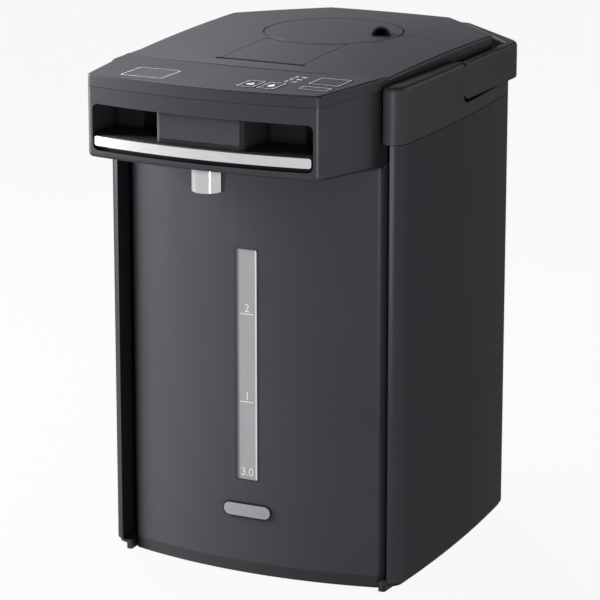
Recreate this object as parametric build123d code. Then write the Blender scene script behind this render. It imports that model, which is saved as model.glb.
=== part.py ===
from build123d import *
import os
from math import asin, cos, degrees, radians, sin, sqrt

# Electric thermo pot. All sizes are in millimetres.
# X points to the pot's right, -Y to its front (the spout side) and Z up.
# The origin is on the table, under the axis of the water vessel.

# ---- Outer body, in plan ----
column_half_width = 102.0       # outside of the side panels at the front columns
belly_rise = 1.2                # how far the sides stand out beyond the columns
column_front_y = -106.0         # front face of the two columns
column_corner_r = 10.7
body_depth = 204.0              # from the columns' front to the crown of the back
belly_setback = 49.0            # the widest place, behind the columns' front
rear_taper = 6.8                # each side comes in by this towards the back
back_crown = 14.0               # the back bows out by this
rear_corner_r = 15.0
side_wall = 2.5
rear_panel_half_width = 62.0
panel_seam = 0.4                # joint line between two outside panels
least_corner_r = 0.6

# ---- Heights, from the table up ----
foot_height = 1.5               # rubber ring below the base
plinth_height = 6.0
side_height = 281.1             # side panels, up to the top frame
ledge_rise = 8.6                # floor of the handle's notch, over the side panels
deck_rise = 23.8                # top frame's deck, over that floor
rail_rise = 3.2                 # rails beside the lid, over the deck
panel_height = 7.7              # control panel, over the head's walls
crown_rise = 3.0                # the lid's dome, over the control panel
stack_gap = 0.5                 # between the deck and what lies on it
crown_r = 2440.0                # radius of the domed lid

# ---- Front panel and columns ----
column_width = 7.0              # hollow column beside each groove
groove_width = 6.4
panel_setback = 6.5             # the front panel's edges, behind the columns' front
panel_bow = 12.5                # how far its middle bows forward
panel_sheet = 1.2
panel_edge_r = 5.0
panel_bottom_z = 2.0
groove_depth = 17.4
bulkhead_thickness = 2.5
bulkhead_gap = 0.2

# ---- Base ----
plinth_inset = 1.5              # flange of the base, behind the faces above it
plinth_side_inset = 9.0         # foot of the base, under the side panels
base_floor = 2.5
base_flange = 2.0
base_rim_wall = 2.5
base_rim_rise = 8.5             # spigot inside the side panels
fit_gap = 0.3                   # between nested mouldings
foot_ring_r = 74.0
foot_ring_width = 10.0

# ---- Double-walled vessel ----
vessel_r = 75.0                 # inside
vessel_sheet = 0.8
vessel_floor_corner_r = 8.0
rim_drop = 15.0                 # vessel's rim, below the side panels' top
neck_height = 8.0
shoulder_height = 16.0
neck_inset = 11.0               # the neck is this much narrower than the body
rim_width = 7.5
vacuum_gap = 5.0
jacket_rise = 11.0
outlet_y = -48.0                # drain to the pump, in front of the axis
outlet_r = 5.0
outlet_drop = 9.0

# ---- Top frame ----
frame_wall = 2.5
well_clearance = 4.5            # round the vessel's rim
well_wall = 2.2
neck_seat_thickness = 2.5
packing_thickness = 1.5
arm_gap = 0.5                   # between the handle's arms and the frame
lid_ledge = 1.0                 # the frame reaches this far out past the lid
rail_gap = 1.2                  # between the lid's side and the rail beside it
rail_round_r = 3.0
notch_front_y = -11.8
notch_corner_r = 8.0

# ---- Head, with the spout recess ----
head_inset = 12.5               # each side of the head, inside the columns
head_taper = 10.5               # the head's front is this much narrower a side
head_depth = 69.0
head_bow = 8.0                  # how far the front face bows forward
head_height = 48.7
chin_rise = 4.6                 # the underside rises to the front by this
head_wall = 2.5
head_corner_r = 4.0
head_lower_r = 3.0
opening_margin = 4.0            # face beside the opening
brow_height = 10.3              # face above the opening
opening_height = 29.0
opening_corner_r = 4.0
cavity_floor_rise = 9.5
cavity_depth = 29.0
cavity_headroom = 1.5
liner_wall = 1.8
block_half_width = 30.0
block_reach = 3.0               # the spout block stands this far out of the head's corners
block_corner_r = 3.0
cover_thickness = 1.2
cover_half_width = 27.5
cover_lift = 3.0
bar_rise = 2.8                  # trim bar, over the opening's lower edge
bar_end_gap = 1.3
bar_height = 6.1
bar_thickness = 3.0
bar_setback = 0.2
nozzle_inset = 8.0              # nozzle, behind the head's front corners
nozzle_r = 10.3
nozzle_drop = 14.3              # nozzle's lip, below the head
nozzle_wall = 1.3
nozzle_flange = 2.5
nozzle_flange_height = 1.5
spout_tip_drop = 1.5            # the water tube ends this far inside the nozzle
spout_bend_r = 12.0

# ---- Control panel ----
split_rise = 2.0                # joint with the lid, behind the head's back
split_bow = 10.0                # the joint bows forward by this
split_gap = 0.8
top_wall = 2.5
edge_round_r = 1.6
panel_lip = 2.3                 # thickness of the lip under the lid's front edge
panel_lip_overlap = 0.6         # the lip lies this far under the lid
display_x = -44.5
display_setback = 18.5          # behind the head's front corners, as for the keys
display_width = 26.0
display_depth = 24.0
display_thickness = 2.0
display_bezel = 1.5
narrow_key_x = 33.0             # middle of the pair of narrow keys
narrow_key_setback = 14.5
narrow_key_width = 12.0
narrow_key_depth = 20.0
narrow_key_pitch = 13.6
warm_key_x = 66.5
warm_key_setback = 39.5
warm_key_size = 21.0
boil_key_x = 67.2
boil_key_setback = 17.5
boil_key_width = 19.6
boil_key_depth = 10.0
key_gap = 0.35
key_proud = 0.3
key_travel = 0.4
key_corner_r = 1.5
key_flange = 1.2
key_flange_thickness = 4.2
switch_height = 2.6
switch_r = 2.6
board_thickness = 1.6
board_inset = 3.0
screw_post_r = 2.5
lamp_x = 41.0
lamp_setback = 46.0
lamp_pitch = 7.0
lamp_count = 3
lamp_width = 1.8
lamp_length = 4.6

# ---- Water gauge ----
window_width = 15.0
window_bottom_z = 64.5
window_height = 151.0
window_corner_r = 1.5
window_gap = 0.2
lens_thickness = 2.5
lens_setback = 0.3
riser_setback = 9.0             # riser tube, behind the front panel's middle
riser_r = 5.0
riser_wall = 1.2
riser_drop = 6.0                # the riser's top, below the head
channel_wall = 1.5
channel_gap = 1.0

# ---- Badge ----
badge_width = 34.0
badge_height = 9.5
badge_z = 44.0
badge_thickness = 0.8

# ---- Handle ----
handle_proud = 0.1              # the arms stand out this far past the sides
arm_thickness = 7.0
handle_lift = 2.0               # over the notch's floor
handle_height = 24.0
arm_end_gap = 2.8               # behind the notch's front end
arm_corner_y = 73.0
arm_chamfer = 4.0
arm_end_r = 6.5
bar_corner_half_width = 48.0
grip_space = 14.5               # fingers go between the lid's back and the bar
handle_bar_depth = 9.5
grip_round_r = 2.0
grip_corner_r = 6.0
pivot_setback = 5.5             # pivot, behind the arm's front end
pivot_rise = 16.0
handle_pin_r = 3.5
running_gap = 0.05              # radial clearance of a pin in its hole
handle_pin_length = 12.0
handle_hole_depth = 4.5

# ---- Lid ----
lid_side_gap = 1.3              # the lid's side, inside the frame's edge
lid_side_y = 53.0
lid_rear_half_width = 44.0
lid_overhang = 2.0              # the lid's back, past the body's
lid_wall = 2.5
lid_front_corner_r = 2.0
lid_side_corner_r = 5.0
lid_rear_corner_r = 4.0
lid_gap = 0.6                   # between the deck and the lid's lower edge
case_gap = 0.2
case_deck = 2.2
plug_clearance = 4.0            # in the frame's well
plug_inset = 2.0                # the plug's foot, inside the vessel's neck
plug_wall = 2.2
plug_seat_gap = 9.0             # the plug's foot, over the vessel's rim
insulation_drop = 5.5
plate_sheet = 0.8
plate_dish = 3.0
seal_gap = 0.3
hinge_setback = 6.0             # hinge axis, inside the lid's back edge
hinge_drop = 7.8                # and below the top of the dome
hinge_pin_r = 1.8
ear_r = 3.5
ear_inner_x = 30.0
ear_width = 6.0
ear_gap = 0.4
knuckle_width = 9.0
lid_open_angle = 80.0

# ---- Steam cap ----
cap_y = 13.0
cap_r = 45.0
cap_gap = 0.8
cap_well_depth = 14.5
cap_wall = 2.0
steam_hole_r = 7.0
steam_tube_wall = 2.0
hood_x = 34.9                   # middle of the hood's mouth, from the cap's middle
hood_y = -2.8
hood_turn = 116.6               # the hood runs back this way, from +X
hood_r = 6.2
hood_tip_r = 1.5
hood_length = 15.0
hood_wall = 1.3
baffle_r = 30.0
baffle_pitch = 12.0
baffle_wall = 1.5
baffle_height = 6.0

# ---- Lid lever and latch ----
lever_half_width = 28.0
lever_front_y = -90.0
lever_gap = 0.5
lever_thickness = 2.4
slit_half_width = 31.0          # finger slit in front of the lever
slit_width = 3.2
lever_axis_y = -34.0
lever_axis_drop = 3.0
lever_rear_gap = 1.1
lever_pin_r = 1.2
lever_pin_length = 2.5
lever_lift_angle = 18.0
latch_width = 12.0
latch_thickness = 2.0
latch_rise = 0.2                # over the lid's inner deck
latch_pin_y = -46.0
latch_pin_r = 1.0
latch_travel = 3.0
latch_nose_gap = 0.3

# ---- Pump, heater and electrics ----
pump_r = 19.0
pump_wall = 2.0
pump_bottom_z = 28.0
pump_height = 13.0
pump_headroom = 16.0            # vessel's floor, over the pump
impeller_r = 14.5
impeller_disc = 1.5
vane_height = 4.5
vane_count = 6
vane_thickness = 1.4
pump_shaft_r = 1.5
magnet_r = 12.0
magnet_height = 4.5
motor_r = 13.8
motor_height = 13.5
hose_wall = 2.0
hose_bend_r = 10.0
heater_inset = 9.0
heater_thickness = 3.0
heater_cover_depth = 5.0
heater_cover_sheet = 0.8
heater_hole_r = 9.0
probe_r = 7.0
thermostat_r = 8.0
thermostat_x = 34.0
thermostat_y = 22.0
thermostat_height = 7.0
support_width = 9.0
support_thickness = 1.6
boss_r = 4.5
boss_gap = 5.5                  # the bosses' circle, outside the heater
board_corner_x = -72.0          # power board's corner, beside the pump
board_corner_y = -30.0
board_width = 46.0
board_length = 70.0
board_rise = 6.0                # on its stand-offs
transformer_width = 20.0
transformer_height = 18.4
inlet_half_width = 24.0
inlet_bottom_z = 20.0
inlet_height = 32.0
inlet_depth = 17.0
inlet_wall = 2.0
inlet_flange = 4.0
inlet_proud = 1.5
contact_r = 2.2
contact_spacing = 14.0
contact_length = 9.0
magnet_pad_spacing = 32.0
magnet_pad_width = 6.0
magnet_pad_height = 12.0
magnet_pad_thickness = 3.0
valve_r = 8.5
valve_wall = 1.6
valve_ball_r = 4.5
valve_cone_height = 5.0         # the ball rests in this cone
spout_pipe_rise = 10.5          # over the recess's floor
spout_bore_r = 4.0
spout_pipe_wall = 1.6

# ---- Values worked out from the sizes above ----
belly_half_width = column_half_width + belly_rise
belly_y = column_front_y + belly_setback
rear_half_width = column_half_width - rear_taper
rear_middle_y = column_front_y + body_depth
rear_side_y = rear_middle_y - back_crown
column_inner_x = column_half_width - column_width
panel_half_width = column_inner_x - groove_width
panel_edge_y = column_front_y + panel_setback
panel_middle_y = panel_edge_y - panel_bow
panel_heel_y = panel_edge_y + panel_edge_r + 0.2
groove_floor_y = column_front_y + groove_depth
bulkhead_back_y = groove_floor_y + bulkhead_thickness
frame_front_y = panel_edge_y - 0.1
head_back_y = frame_front_y - 0.4
head_front_y = head_back_y - head_depth
head_middle_y = head_front_y - head_bow
head_back_half_width = column_half_width - head_inset
head_front_half_width = head_back_half_width - head_taper
lip_half_width = head_back_half_width - 2 * head_wall - fit_gap
opening_half_width = head_front_half_width - opening_margin
cavity_back_y = head_front_y + cavity_depth
block_front_y = head_front_y - block_reach
bar_half_width = opening_half_width - bar_end_gap
nozzle_y = head_front_y + nozzle_inset
split_half_width = head_back_half_width + 0.5
split_side_y = head_back_y + split_rise
display_y = head_front_y + display_setback
lamp_rear_y = head_front_y + lamp_setback
riser_y = panel_middle_y + riser_setback

plinth_top_z = foot_height + plinth_height
base_floor_top_z = foot_height + base_floor
base_rim_top_z = plinth_top_z + base_rim_rise
side_top_z = plinth_top_z + panel_seam + side_height
frame_bottom_z = side_top_z + panel_seam
handle_ledge_z = frame_bottom_z + ledge_rise
bulkhead_top_z = side_top_z - 2.0
deck_top_z = handle_ledge_z + deck_rise
rail_top_z = deck_top_z + rail_rise
head_top_z = deck_top_z + stack_gap
head_bottom_z = head_top_z - head_height
panel_top_z = head_top_z + panel_height
panel_underside_z = panel_top_z - top_wall
crown_apex_z = panel_top_z + crown_rise
crown_centre = Vector(0, cap_y, crown_apex_z - crown_r)
opening_top_z = head_top_z - brow_height
opening_bottom_z = opening_top_z - opening_height
cavity_floor_z = opening_bottom_z + cavity_floor_rise
cavity_ceiling_z = opening_top_z + cavity_headroom
cover_bottom_z = cavity_floor_z + cover_lift
bar_bottom_z = opening_bottom_z + bar_rise
chin_slope = chin_rise / head_depth
nozzle_flange_z = (
    head_bottom_z + head_wall + chin_slope * (head_back_y - nozzle_y + nozzle_r + nozzle_flange) + 0.1
)
nozzle_top_z = nozzle_flange_z + nozzle_flange_height
nozzle_bottom_z = head_bottom_z + chin_slope * (head_back_y - nozzle_y) - nozzle_drop
spout_pipe_z = cavity_floor_z + spout_pipe_rise
riser_top_z = head_bottom_z - riser_drop
valve_seat_z = head_bottom_z + head_wall + chin_slope * (head_back_y - riser_y + valve_r) + 2.5
window_top_z = window_bottom_z + window_height

pump_top_z = pump_bottom_z + pump_height
pump_port_z = pump_bottom_z + pump_height / 2
vessel_floor_z = pump_top_z + pump_headroom
vessel_bottom_z = vessel_floor_z - vessel_sheet
rim_z = side_top_z - rim_drop
neck_bottom_z = rim_z - neck_height
shoulder_z = neck_bottom_z - shoulder_height
neck_r = vessel_r - neck_inset
rim_r = neck_r + rim_width
jacket_r = vessel_r + vacuum_gap
jacket_bottom_z = vessel_floor_z + jacket_rise
jacket_shoulder_z = shoulder_z + vacuum_gap + 1
well_r = rim_r + well_clearance
neck_seat_r = rim_r - 1.0
packing_bottom_z = rim_z - packing_thickness
neck_seat_z = packing_bottom_z - neck_seat_thickness
riser_bore_r = riser_r - riser_wall
riser_bottom_z = pump_port_z + hose_bend_r + 1.5
heater_r = vessel_r - heater_inset
heater_bottom_z = vessel_bottom_z - heater_thickness
heater_cover_bottom_z = vessel_bottom_z - heater_cover_depth
support_z = heater_cover_bottom_z - support_thickness
boss_circle_r = heater_r + boss_gap

handle_outer_x = belly_half_width + handle_proud
handle_inner_x = handle_outer_x - arm_thickness
upper_half_width = handle_inner_x - arm_gap
upper_corner_y = lid_side_y + lid_ledge
upper_rear_half_width = lid_rear_half_width + lid_ledge
lid_side_half_width = upper_half_width - lid_side_gap
lid_rear_y = rear_middle_y + lid_overhang
upper_rear_y = lid_rear_y + lid_ledge
hinge_y = lid_rear_y - hinge_setback
hinge_z = crown_apex_z - hinge_drop
trough_z = hinge_z - sqrt((lid_rear_y - hinge_y) ** 2 + (crown_apex_z - hinge_z) ** 2)
handle_bottom_z = handle_ledge_z + handle_lift
handle_rear_y = lid_rear_y + grip_space + handle_bar_depth
arm_end_y = notch_front_y + arm_end_gap
pivot_y = arm_end_y + pivot_setback
pivot_z = handle_bottom_z + pivot_rise

lid_bottom_z = deck_top_z + lid_gap
case_deck_z = lid_bottom_z + case_gap
case_top_z = case_deck_z + case_deck
plug_bottom_z = rim_z + plug_seat_gap
plug_top_r = well_r - plug_clearance
plug_bottom_r = neck_r - plug_inset
plate_z = plug_bottom_z - plate_dish
cap_well_floor_z = crown_apex_z - cap_well_depth
insulation_top_z = cap_well_floor_z - insulation_drop
lever_axis_z = crown_apex_z - lever_axis_drop
latch_bottom_z = case_top_z + latch_rise
latch_pin_z = latch_bottom_z + latch_thickness / 2
key_bottom_z = panel_underside_z - key_flange_thickness - 1.4
board_top_z = key_bottom_z - switch_height - key_travel - 0.1
board_z = board_top_z - board_thickness


# ---- Helpers ----
def slab(plan, low, high):
    """A plan outline raised between two heights."""
    return extrude(Pos(0, 0, low) * plan, amount=high - low, dir=(0, 0, 1))


def block(x0, x1, y0, y1, z0, z1):
    """A block given by its two corners."""
    centre = Pos((x0 + x1) / 2, (y0 + y1) / 2, (z0 + z1) / 2)
    return centre * Box(x1 - x0, y1 - y0, z1 - z0)


def post(radius, low, high, x=0.0, y=0.0):
    """An upright round bar."""
    return Pos(x, y, (low + high) / 2) * Cylinder(radius, high - low)


def pipe(outer, inner, low, high, x=0.0, y=0.0):
    """An upright tube."""
    return post(outer, low, high, x, y) - post(inner, low - 1, high + 1, x, y)


def cross_bar(radius, x0, x1, y, z):
    """A round bar lying along X."""
    return Pos((x0 + x1) / 2, y, z) * Rot(0, 90, 0) * Cylinder(radius, x1 - x0)


def crown(depth=0.0):
    """The ball whose top is the lid's domed surface, drawn in by a depth."""
    return Pos(*crown_centre) * Sphere(crown_r - depth)


def drawn_in(plan, amount):
    """A plan outline drawn in by an amount, or let out by a negative one."""
    return offset(plan, amount=-amount)


def write(name, shape):
    """One STEP file for each sub-part."""
    shape.label = name
    export_step(shape, f"parts/{name}.step")


# ---- Plan outlines ----
def disc_through(first, middle, last, inset):
    """The disc whose rim runs through three points, drawn in by an inset."""
    arc = ThreePointArc(first, middle, last)
    return Pos(arc.arc_center.X, arc.arc_center.Y) * Circle(arc.radius - inset)


def body_plan(inset=0.0, front_inset=None):
    """The pot's body: straight front, bellied sides and a crowned back."""
    front = (-column_half_width, column_front_y)
    belly = (-belly_half_width, belly_y)
    left_rear = (-rear_half_width, rear_side_y)
    right_rear = (rear_half_width, rear_side_y)
    left = disc_through(front, belly, left_rear, inset)
    right = mirror(left, about=Plane.YZ)
    rear = disc_through(left_rear, (0, rear_middle_y), right_rear, inset)
    reach = 2 * belly_half_width
    front_y = column_front_y + (inset if front_inset is None else front_inset)
    plan = left & right & rear & Pos(0, front_y + reach) * Rectangle(2 * reach, 2 * reach)
    corners = plan.vertices().sort_by(Axis.Y)
    plan = fillet(corners[:2], max(column_corner_r - inset, least_corner_r))
    corners = plan.vertices().sort_by(Axis.Y)
    return fillet(corners[-2:], max(rear_corner_r - inset, least_corner_r))


def front_panel_plan(inset=0.0, back_y=groove_floor_y):
    """The bowed front panel and the two returns at its edges."""
    left = (-panel_half_width, panel_edge_y)
    right = (panel_half_width, panel_edge_y)
    outline = ThreePointArc(left, (0, panel_middle_y), right)
    outline += Polyline(right, (panel_half_width, back_y + inset), (-panel_half_width, back_y + inset), left)
    plan = make_face(outline)
    plan = fillet(plan.vertices().sort_by(Axis.Y)[:2], panel_edge_r)
    return drawn_in(plan, inset) if inset else plan


def head_plan(inset=0.0):
    """The overhanging head: a bowed front, and sides that spread to the back."""
    left = (-head_front_half_width, head_front_y)
    right = (head_front_half_width, head_front_y)
    outline = ThreePointArc(left, (0, head_middle_y), right)
    outline += Polyline(
        right, (head_back_half_width, head_back_y), (-head_back_half_width, head_back_y), left
    )
    plan = make_face(outline)
    plan = fillet(plan.vertices().sort_by(Axis.Y)[:2], head_corner_r)
    return drawn_in(plan, inset) if inset else plan


def split_arc(shift=0.0):
    """The bowed joint between the control panel and the lid."""
    left = (-split_half_width, split_side_y + shift)
    right = (split_half_width, split_side_y + shift)
    return ThreePointArc(left, (0, split_side_y + shift - split_bow), right)


def control_plan():
    """The control panel, from the head's front to the joint with the lid."""
    left = (-head_front_half_width, head_front_y)
    right = (head_front_half_width, head_front_y)
    rear = split_arc(-split_gap)
    outline = ThreePointArc(left, (0, head_middle_y), right)
    outline += Line(right, rear @ 1) + rear + Line(rear @ 0, left)
    plan = make_face(outline)
    return fillet(plan.vertices().sort_by(Axis.Y)[:2], head_corner_r)


def lid_plan(inset=0.0):
    """The lid: bowed front, slightly spreading sides and a chamfered back."""
    front = split_arc()
    right = [(lid_side_half_width, lid_side_y), (lid_rear_half_width, lid_rear_y)]
    left = [(-x, y) for x, y in reversed(right)]
    outline = front + Polyline(front @ 1, *right, *left, front @ 0)
    plan = make_face(outline)
    corners = plan.vertices().sort_by(Axis.Y)
    plan = fillet(corners[:2], lid_front_corner_r)
    corners = plan.vertices().sort_by(Axis.Y)
    plan = fillet(corners[-2:], lid_rear_corner_r)
    sides = plan.vertices().filter_by(lambda v: abs(v.X) > lid_side_half_width - 0.01)
    plan = fillet(sides, lid_side_corner_r)
    return drawn_in(plan, inset) if inset else plan


def upper_plan():
    """The top frame under the lid, between the handle's arms."""
    right = [
        (upper_half_width, frame_front_y),
        (upper_half_width, upper_corner_y),
        (upper_rear_half_width, upper_rear_y),
    ]
    left = [(-x, y) for x, y in reversed(right)]
    return make_face(Polyline(*right, *left, close=True))


def base_plan(side_inset, inset=0.0):
    """The base, set back by one amount at the sides and another at the front."""
    room = panel_half_width + fit_gap + inset
    heel = panel_heel_y + fit_gap + inset
    rear = heel + 6
    front_room = Pos(0, heel - 100) * Rectangle(2 * room, 200)
    behind_columns = body_plan(side_inset + inset, plinth_inset + inset) - front_room
    return behind_columns + front_panel_plan(plinth_inset + inset, rear)


# ---- Base ----
def support_points():
    """The four bosses that carry the vessel's support ring."""
    across = boss_circle_r * sqrt(0.5)
    return [(-across, -across), (across, -across), (-across, across), (across, across)]


def base_cover():
    """The base: a foot set well back, a flange under the side panels, and a spigot inside them."""
    cover = slab(base_plan(plinth_side_inset), foot_height, plinth_top_z)
    cover += slab(base_plan(plinth_inset), plinth_top_z - base_flange, plinth_top_z)
    cover -= slab(base_plan(plinth_side_inset, base_rim_wall), base_floor_top_z, plinth_top_z + 1)
    rim_low = plinth_top_z - base_flange
    rim = slab(body_plan(side_wall + fit_gap), rim_low, base_rim_top_z)
    rim -= slab(body_plan(side_wall + fit_gap + base_rim_wall), rim_low - 1, base_rim_top_z + 1)
    rim_cut_x = column_inner_x + side_wall + fit_gap
    rim -= block(
        -rim_cut_x, rim_cut_x, column_front_y - 1, bulkhead_back_y + fit_gap, rim_low - 1, base_rim_top_z + 1
    )
    cover += rim
    for x, y in support_points():
        cover += post(boss_r, base_floor_top_z, support_z, x, y)
    for side in (-1, 1):
        x = side * (pump_r + boss_r)
        cover += post(boss_r, base_floor_top_z, pump_bottom_z, x, outlet_y)
    return cover


def foot_ring():
    return pipe(foot_ring_r, foot_ring_r - foot_ring_width, 0, foot_height)


# ---- Outer panels ----
def body_shell():
    """Walls of the body, with the two hollow columns at the front."""
    shell = slab(body_plan(), plinth_top_z + panel_seam, side_top_z)
    shell -= slab(body_plan(side_wall), plinth_top_z, side_top_z + 1)
    shell -= block(
        -column_inner_x, column_inner_x, column_front_y - 1, rear_side_y / 2, plinth_top_z, side_top_z + 1
    )
    for side in (-1, 1):
        near = side * column_inner_x
        far = side * (column_inner_x + side_wall)
        wall = block(
            min(near, far), max(near, far), column_front_y,
            bulkhead_back_y, plinth_top_z + panel_seam, side_top_z
        )
        shell += wall & slab(body_plan(), plinth_top_z, side_top_z)
    return shell


def side_panel(shell, side):
    """One side of the shell, as far as the rear panel."""
    reach = 2 * belly_half_width
    near = side * (rear_panel_half_width + panel_seam / 2)
    far = side * reach
    return shell & block(min(near, far), max(near, far), -reach, reach, 0, side_top_z + 1)


def rear_panel(shell):
    """The strip between the side panels, with the opening for the inlet."""
    half = rear_panel_half_width - panel_seam / 2
    panel = shell & block(-half, half, 0, 2 * rear_middle_y, 0, side_top_z + 1)
    opening = block(
        -inlet_half_width,
        inlet_half_width,
        rear_middle_y - inlet_depth,
        rear_middle_y + 5,
        inlet_bottom_z,
        inlet_bottom_z + inlet_height,
    )
    return panel - opening


def front_frame():
    """The bulkhead behind the front panel, which closes the two grooves."""
    half = column_inner_x - bulkhead_gap
    frame = block(-half, half, groove_floor_y, bulkhead_back_y, plinth_top_z + fit_gap, bulkhead_top_z)
    pipe_room = riser_r + hose_wall + 3
    frame -= block(
        -pipe_room, pipe_room, groove_floor_y - 1, bulkhead_back_y + 1,
        pump_port_z - pipe_room, riser_bottom_z + 2 * pipe_room
    )
    return frame


def front_panel():
    """The metal front, with the slot for the water gauge."""
    top = head_bottom_z - fit_gap
    panel = slab(front_panel_plan(), panel_bottom_z, top)
    panel -= slab(front_panel_plan(panel_sheet, groove_floor_y + 10), panel_bottom_z - 1, top + 1)
    reach = panel_half_width + 1
    panel -= block(-reach, reach, panel_heel_y, 0, 0, plinth_top_z + panel_seam)
    panel -= window_slot(0, panel_middle_y - 1, panel_middle_y + 5)
    return panel


def window_slot(gap, front, back):
    """The upright slot of the gauge window, with rounded ends."""
    height = window_top_z - window_bottom_z - 2 * gap
    outline = RectangleRounded(window_width - 2 * gap, height, 1.5)
    middle = Pos(0, back, (window_top_z + window_bottom_z) / 2) * Rot(90, 0, 0)
    return extrude(middle * outline, amount=back - front, dir=(0, -1, 0))


def gauge_lens():
    front = panel_middle_y + lens_setback
    return window_slot(window_gap, front, front + lens_thickness)


def gauge_channel():
    """The pale trough behind the window, which shows up the water level."""
    half = riser_r + channel_gap + channel_wall
    front = panel_middle_y + lens_setback + lens_thickness + channel_gap
    low = window_bottom_z - channel_wall
    high = window_top_z + channel_wall
    trough = block(-half, half, front, groove_floor_y, low, high)
    trough -= block(
        -half + channel_wall, half - channel_wall, front - 1, groove_floor_y - channel_wall, low - 1, high + 1
    )
    return trough


def gauge_tube():
    return pipe(riser_r, riser_bore_r, riser_bottom_z, riser_top_z, 0, riser_y)


def badge_plate():
    """A bare pill-shaped plate, curved to lie on the front panel."""
    sagitta = panel_edge_y - panel_middle_y
    bow_r = (panel_half_width**2 + sagitta**2) / (2 * sagitta)
    centre = Pos(0, panel_middle_y + bow_r, 0)
    pill = Pos(0, panel_middle_y, badge_z) * Rot(90, 0, 0) * SlotOverall(badge_width, badge_height)
    prism = extrude(pill, amount=4, dir=(0, -1, 0)) + extrude(pill, amount=4, dir=(0, 1, 0))
    skin = centre * Pos(0, 0, badge_z) * (Cylinder(bow_r + badge_thickness, 20) - Cylinder(bow_r, 21))
    return prism & skin


# ---- Vessel ----
def vessel_solid(grow, low, high):
    """The vessel's inside as a solid, or grown outwards by its sheet."""
    corner = vessel_floor_corner_r + grow
    floor = low - grow
    wall = vessel_r + grow
    profile = Polyline(
        (0, floor),
        (wall, floor),
        (wall, shoulder_z),
        (neck_r + grow, neck_bottom_z),
        (neck_r + grow, high),
        (0, high),
        close=True,
    )
    face = make_face(profile)
    face = fillet(face.vertices().sort_by_distance((wall, floor, 0))[:1], corner)
    face = fillet(face.vertices().sort_by_distance((wall, shoulder_z, 0))[:1], vessel_floor_corner_r)
    return revolve(Rot(90, 0, 0) * face, Axis.Z)


def inner_vessel():
    rim_top = rim_z + vessel_sheet
    shell = vessel_solid(vessel_sheet, vessel_floor_z, rim_top)
    shell += post(rim_r, rim_z, rim_top)
    shell += post(outlet_r, vessel_bottom_z - outlet_drop, vessel_floor_z, 0, outlet_y)
    shell -= vessel_solid(0, vessel_floor_z, rim_top + 1)
    shell -= post(outlet_r - vessel_sheet, vessel_bottom_z - outlet_drop - 1, vessel_floor_z + 1, 0, outlet_y)
    return shell


def jacket_solid(shrink):
    """The outer wall of the vacuum space, as a solid."""
    wall = jacket_r - shrink
    neck = neck_r + vessel_sheet
    profile = Polyline(
        (vessel_r + vessel_sheet, jacket_bottom_z + shrink),
        (wall, jacket_bottom_z + shrink),
        (wall, jacket_shoulder_z),
        (neck + vessel_sheet - shrink, rim_z - 4),
        (neck + vessel_sheet - shrink, rim_z - 2 + shrink),
        (0, rim_z - 2 + shrink),
        (0, jacket_bottom_z + shrink),
        close=True,
    )
    return revolve(Rot(90, 0, 0) * make_face(profile), Axis.Z)


def outer_vessel():
    shell = jacket_solid(0)
    shell -= jacket_solid(vessel_sheet)
    shell -= vessel_solid(vessel_sheet, vessel_floor_z, rim_z + 1)
    return shell


def neck_packing():
    inner = neck_r + 2 * vessel_sheet + 0.2
    return pipe(well_r - 0.4, inner, packing_bottom_z, rim_z)


# ---- Top frame ----
def rails():
    """The raised shoulders beside the lid, ending at the handle's notch."""
    rail = slab(body_plan(), handle_ledge_z, rail_top_z)
    top_edges = rail.faces().sort_by(Axis.Z)[-1].edges()
    rail = fillet(top_edges, rail_round_r)
    rail -= slab(lid_plan(-rail_gap), handle_ledge_z, rail_top_z + 1)
    rail -= slab(head_plan(-rail_gap), handle_ledge_z - 1, rail_top_z + 1)
    inside = head_back_half_width + rail_gap
    rail -= block(-inside, inside, 2 * column_front_y, notch_front_y, handle_ledge_z - 1, rail_top_z + 1)
    length = 2 * rear_middle_y
    height = rail_top_z - handle_ledge_z + 20
    middle = Pos(notch_front_y + length / 2, handle_ledge_z + height / 2)
    notch = Plane.YZ * middle * RectangleRounded(length, height, notch_corner_r)
    return rail - extrude(notch, amount=2 * belly_half_width, both=True)


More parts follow.
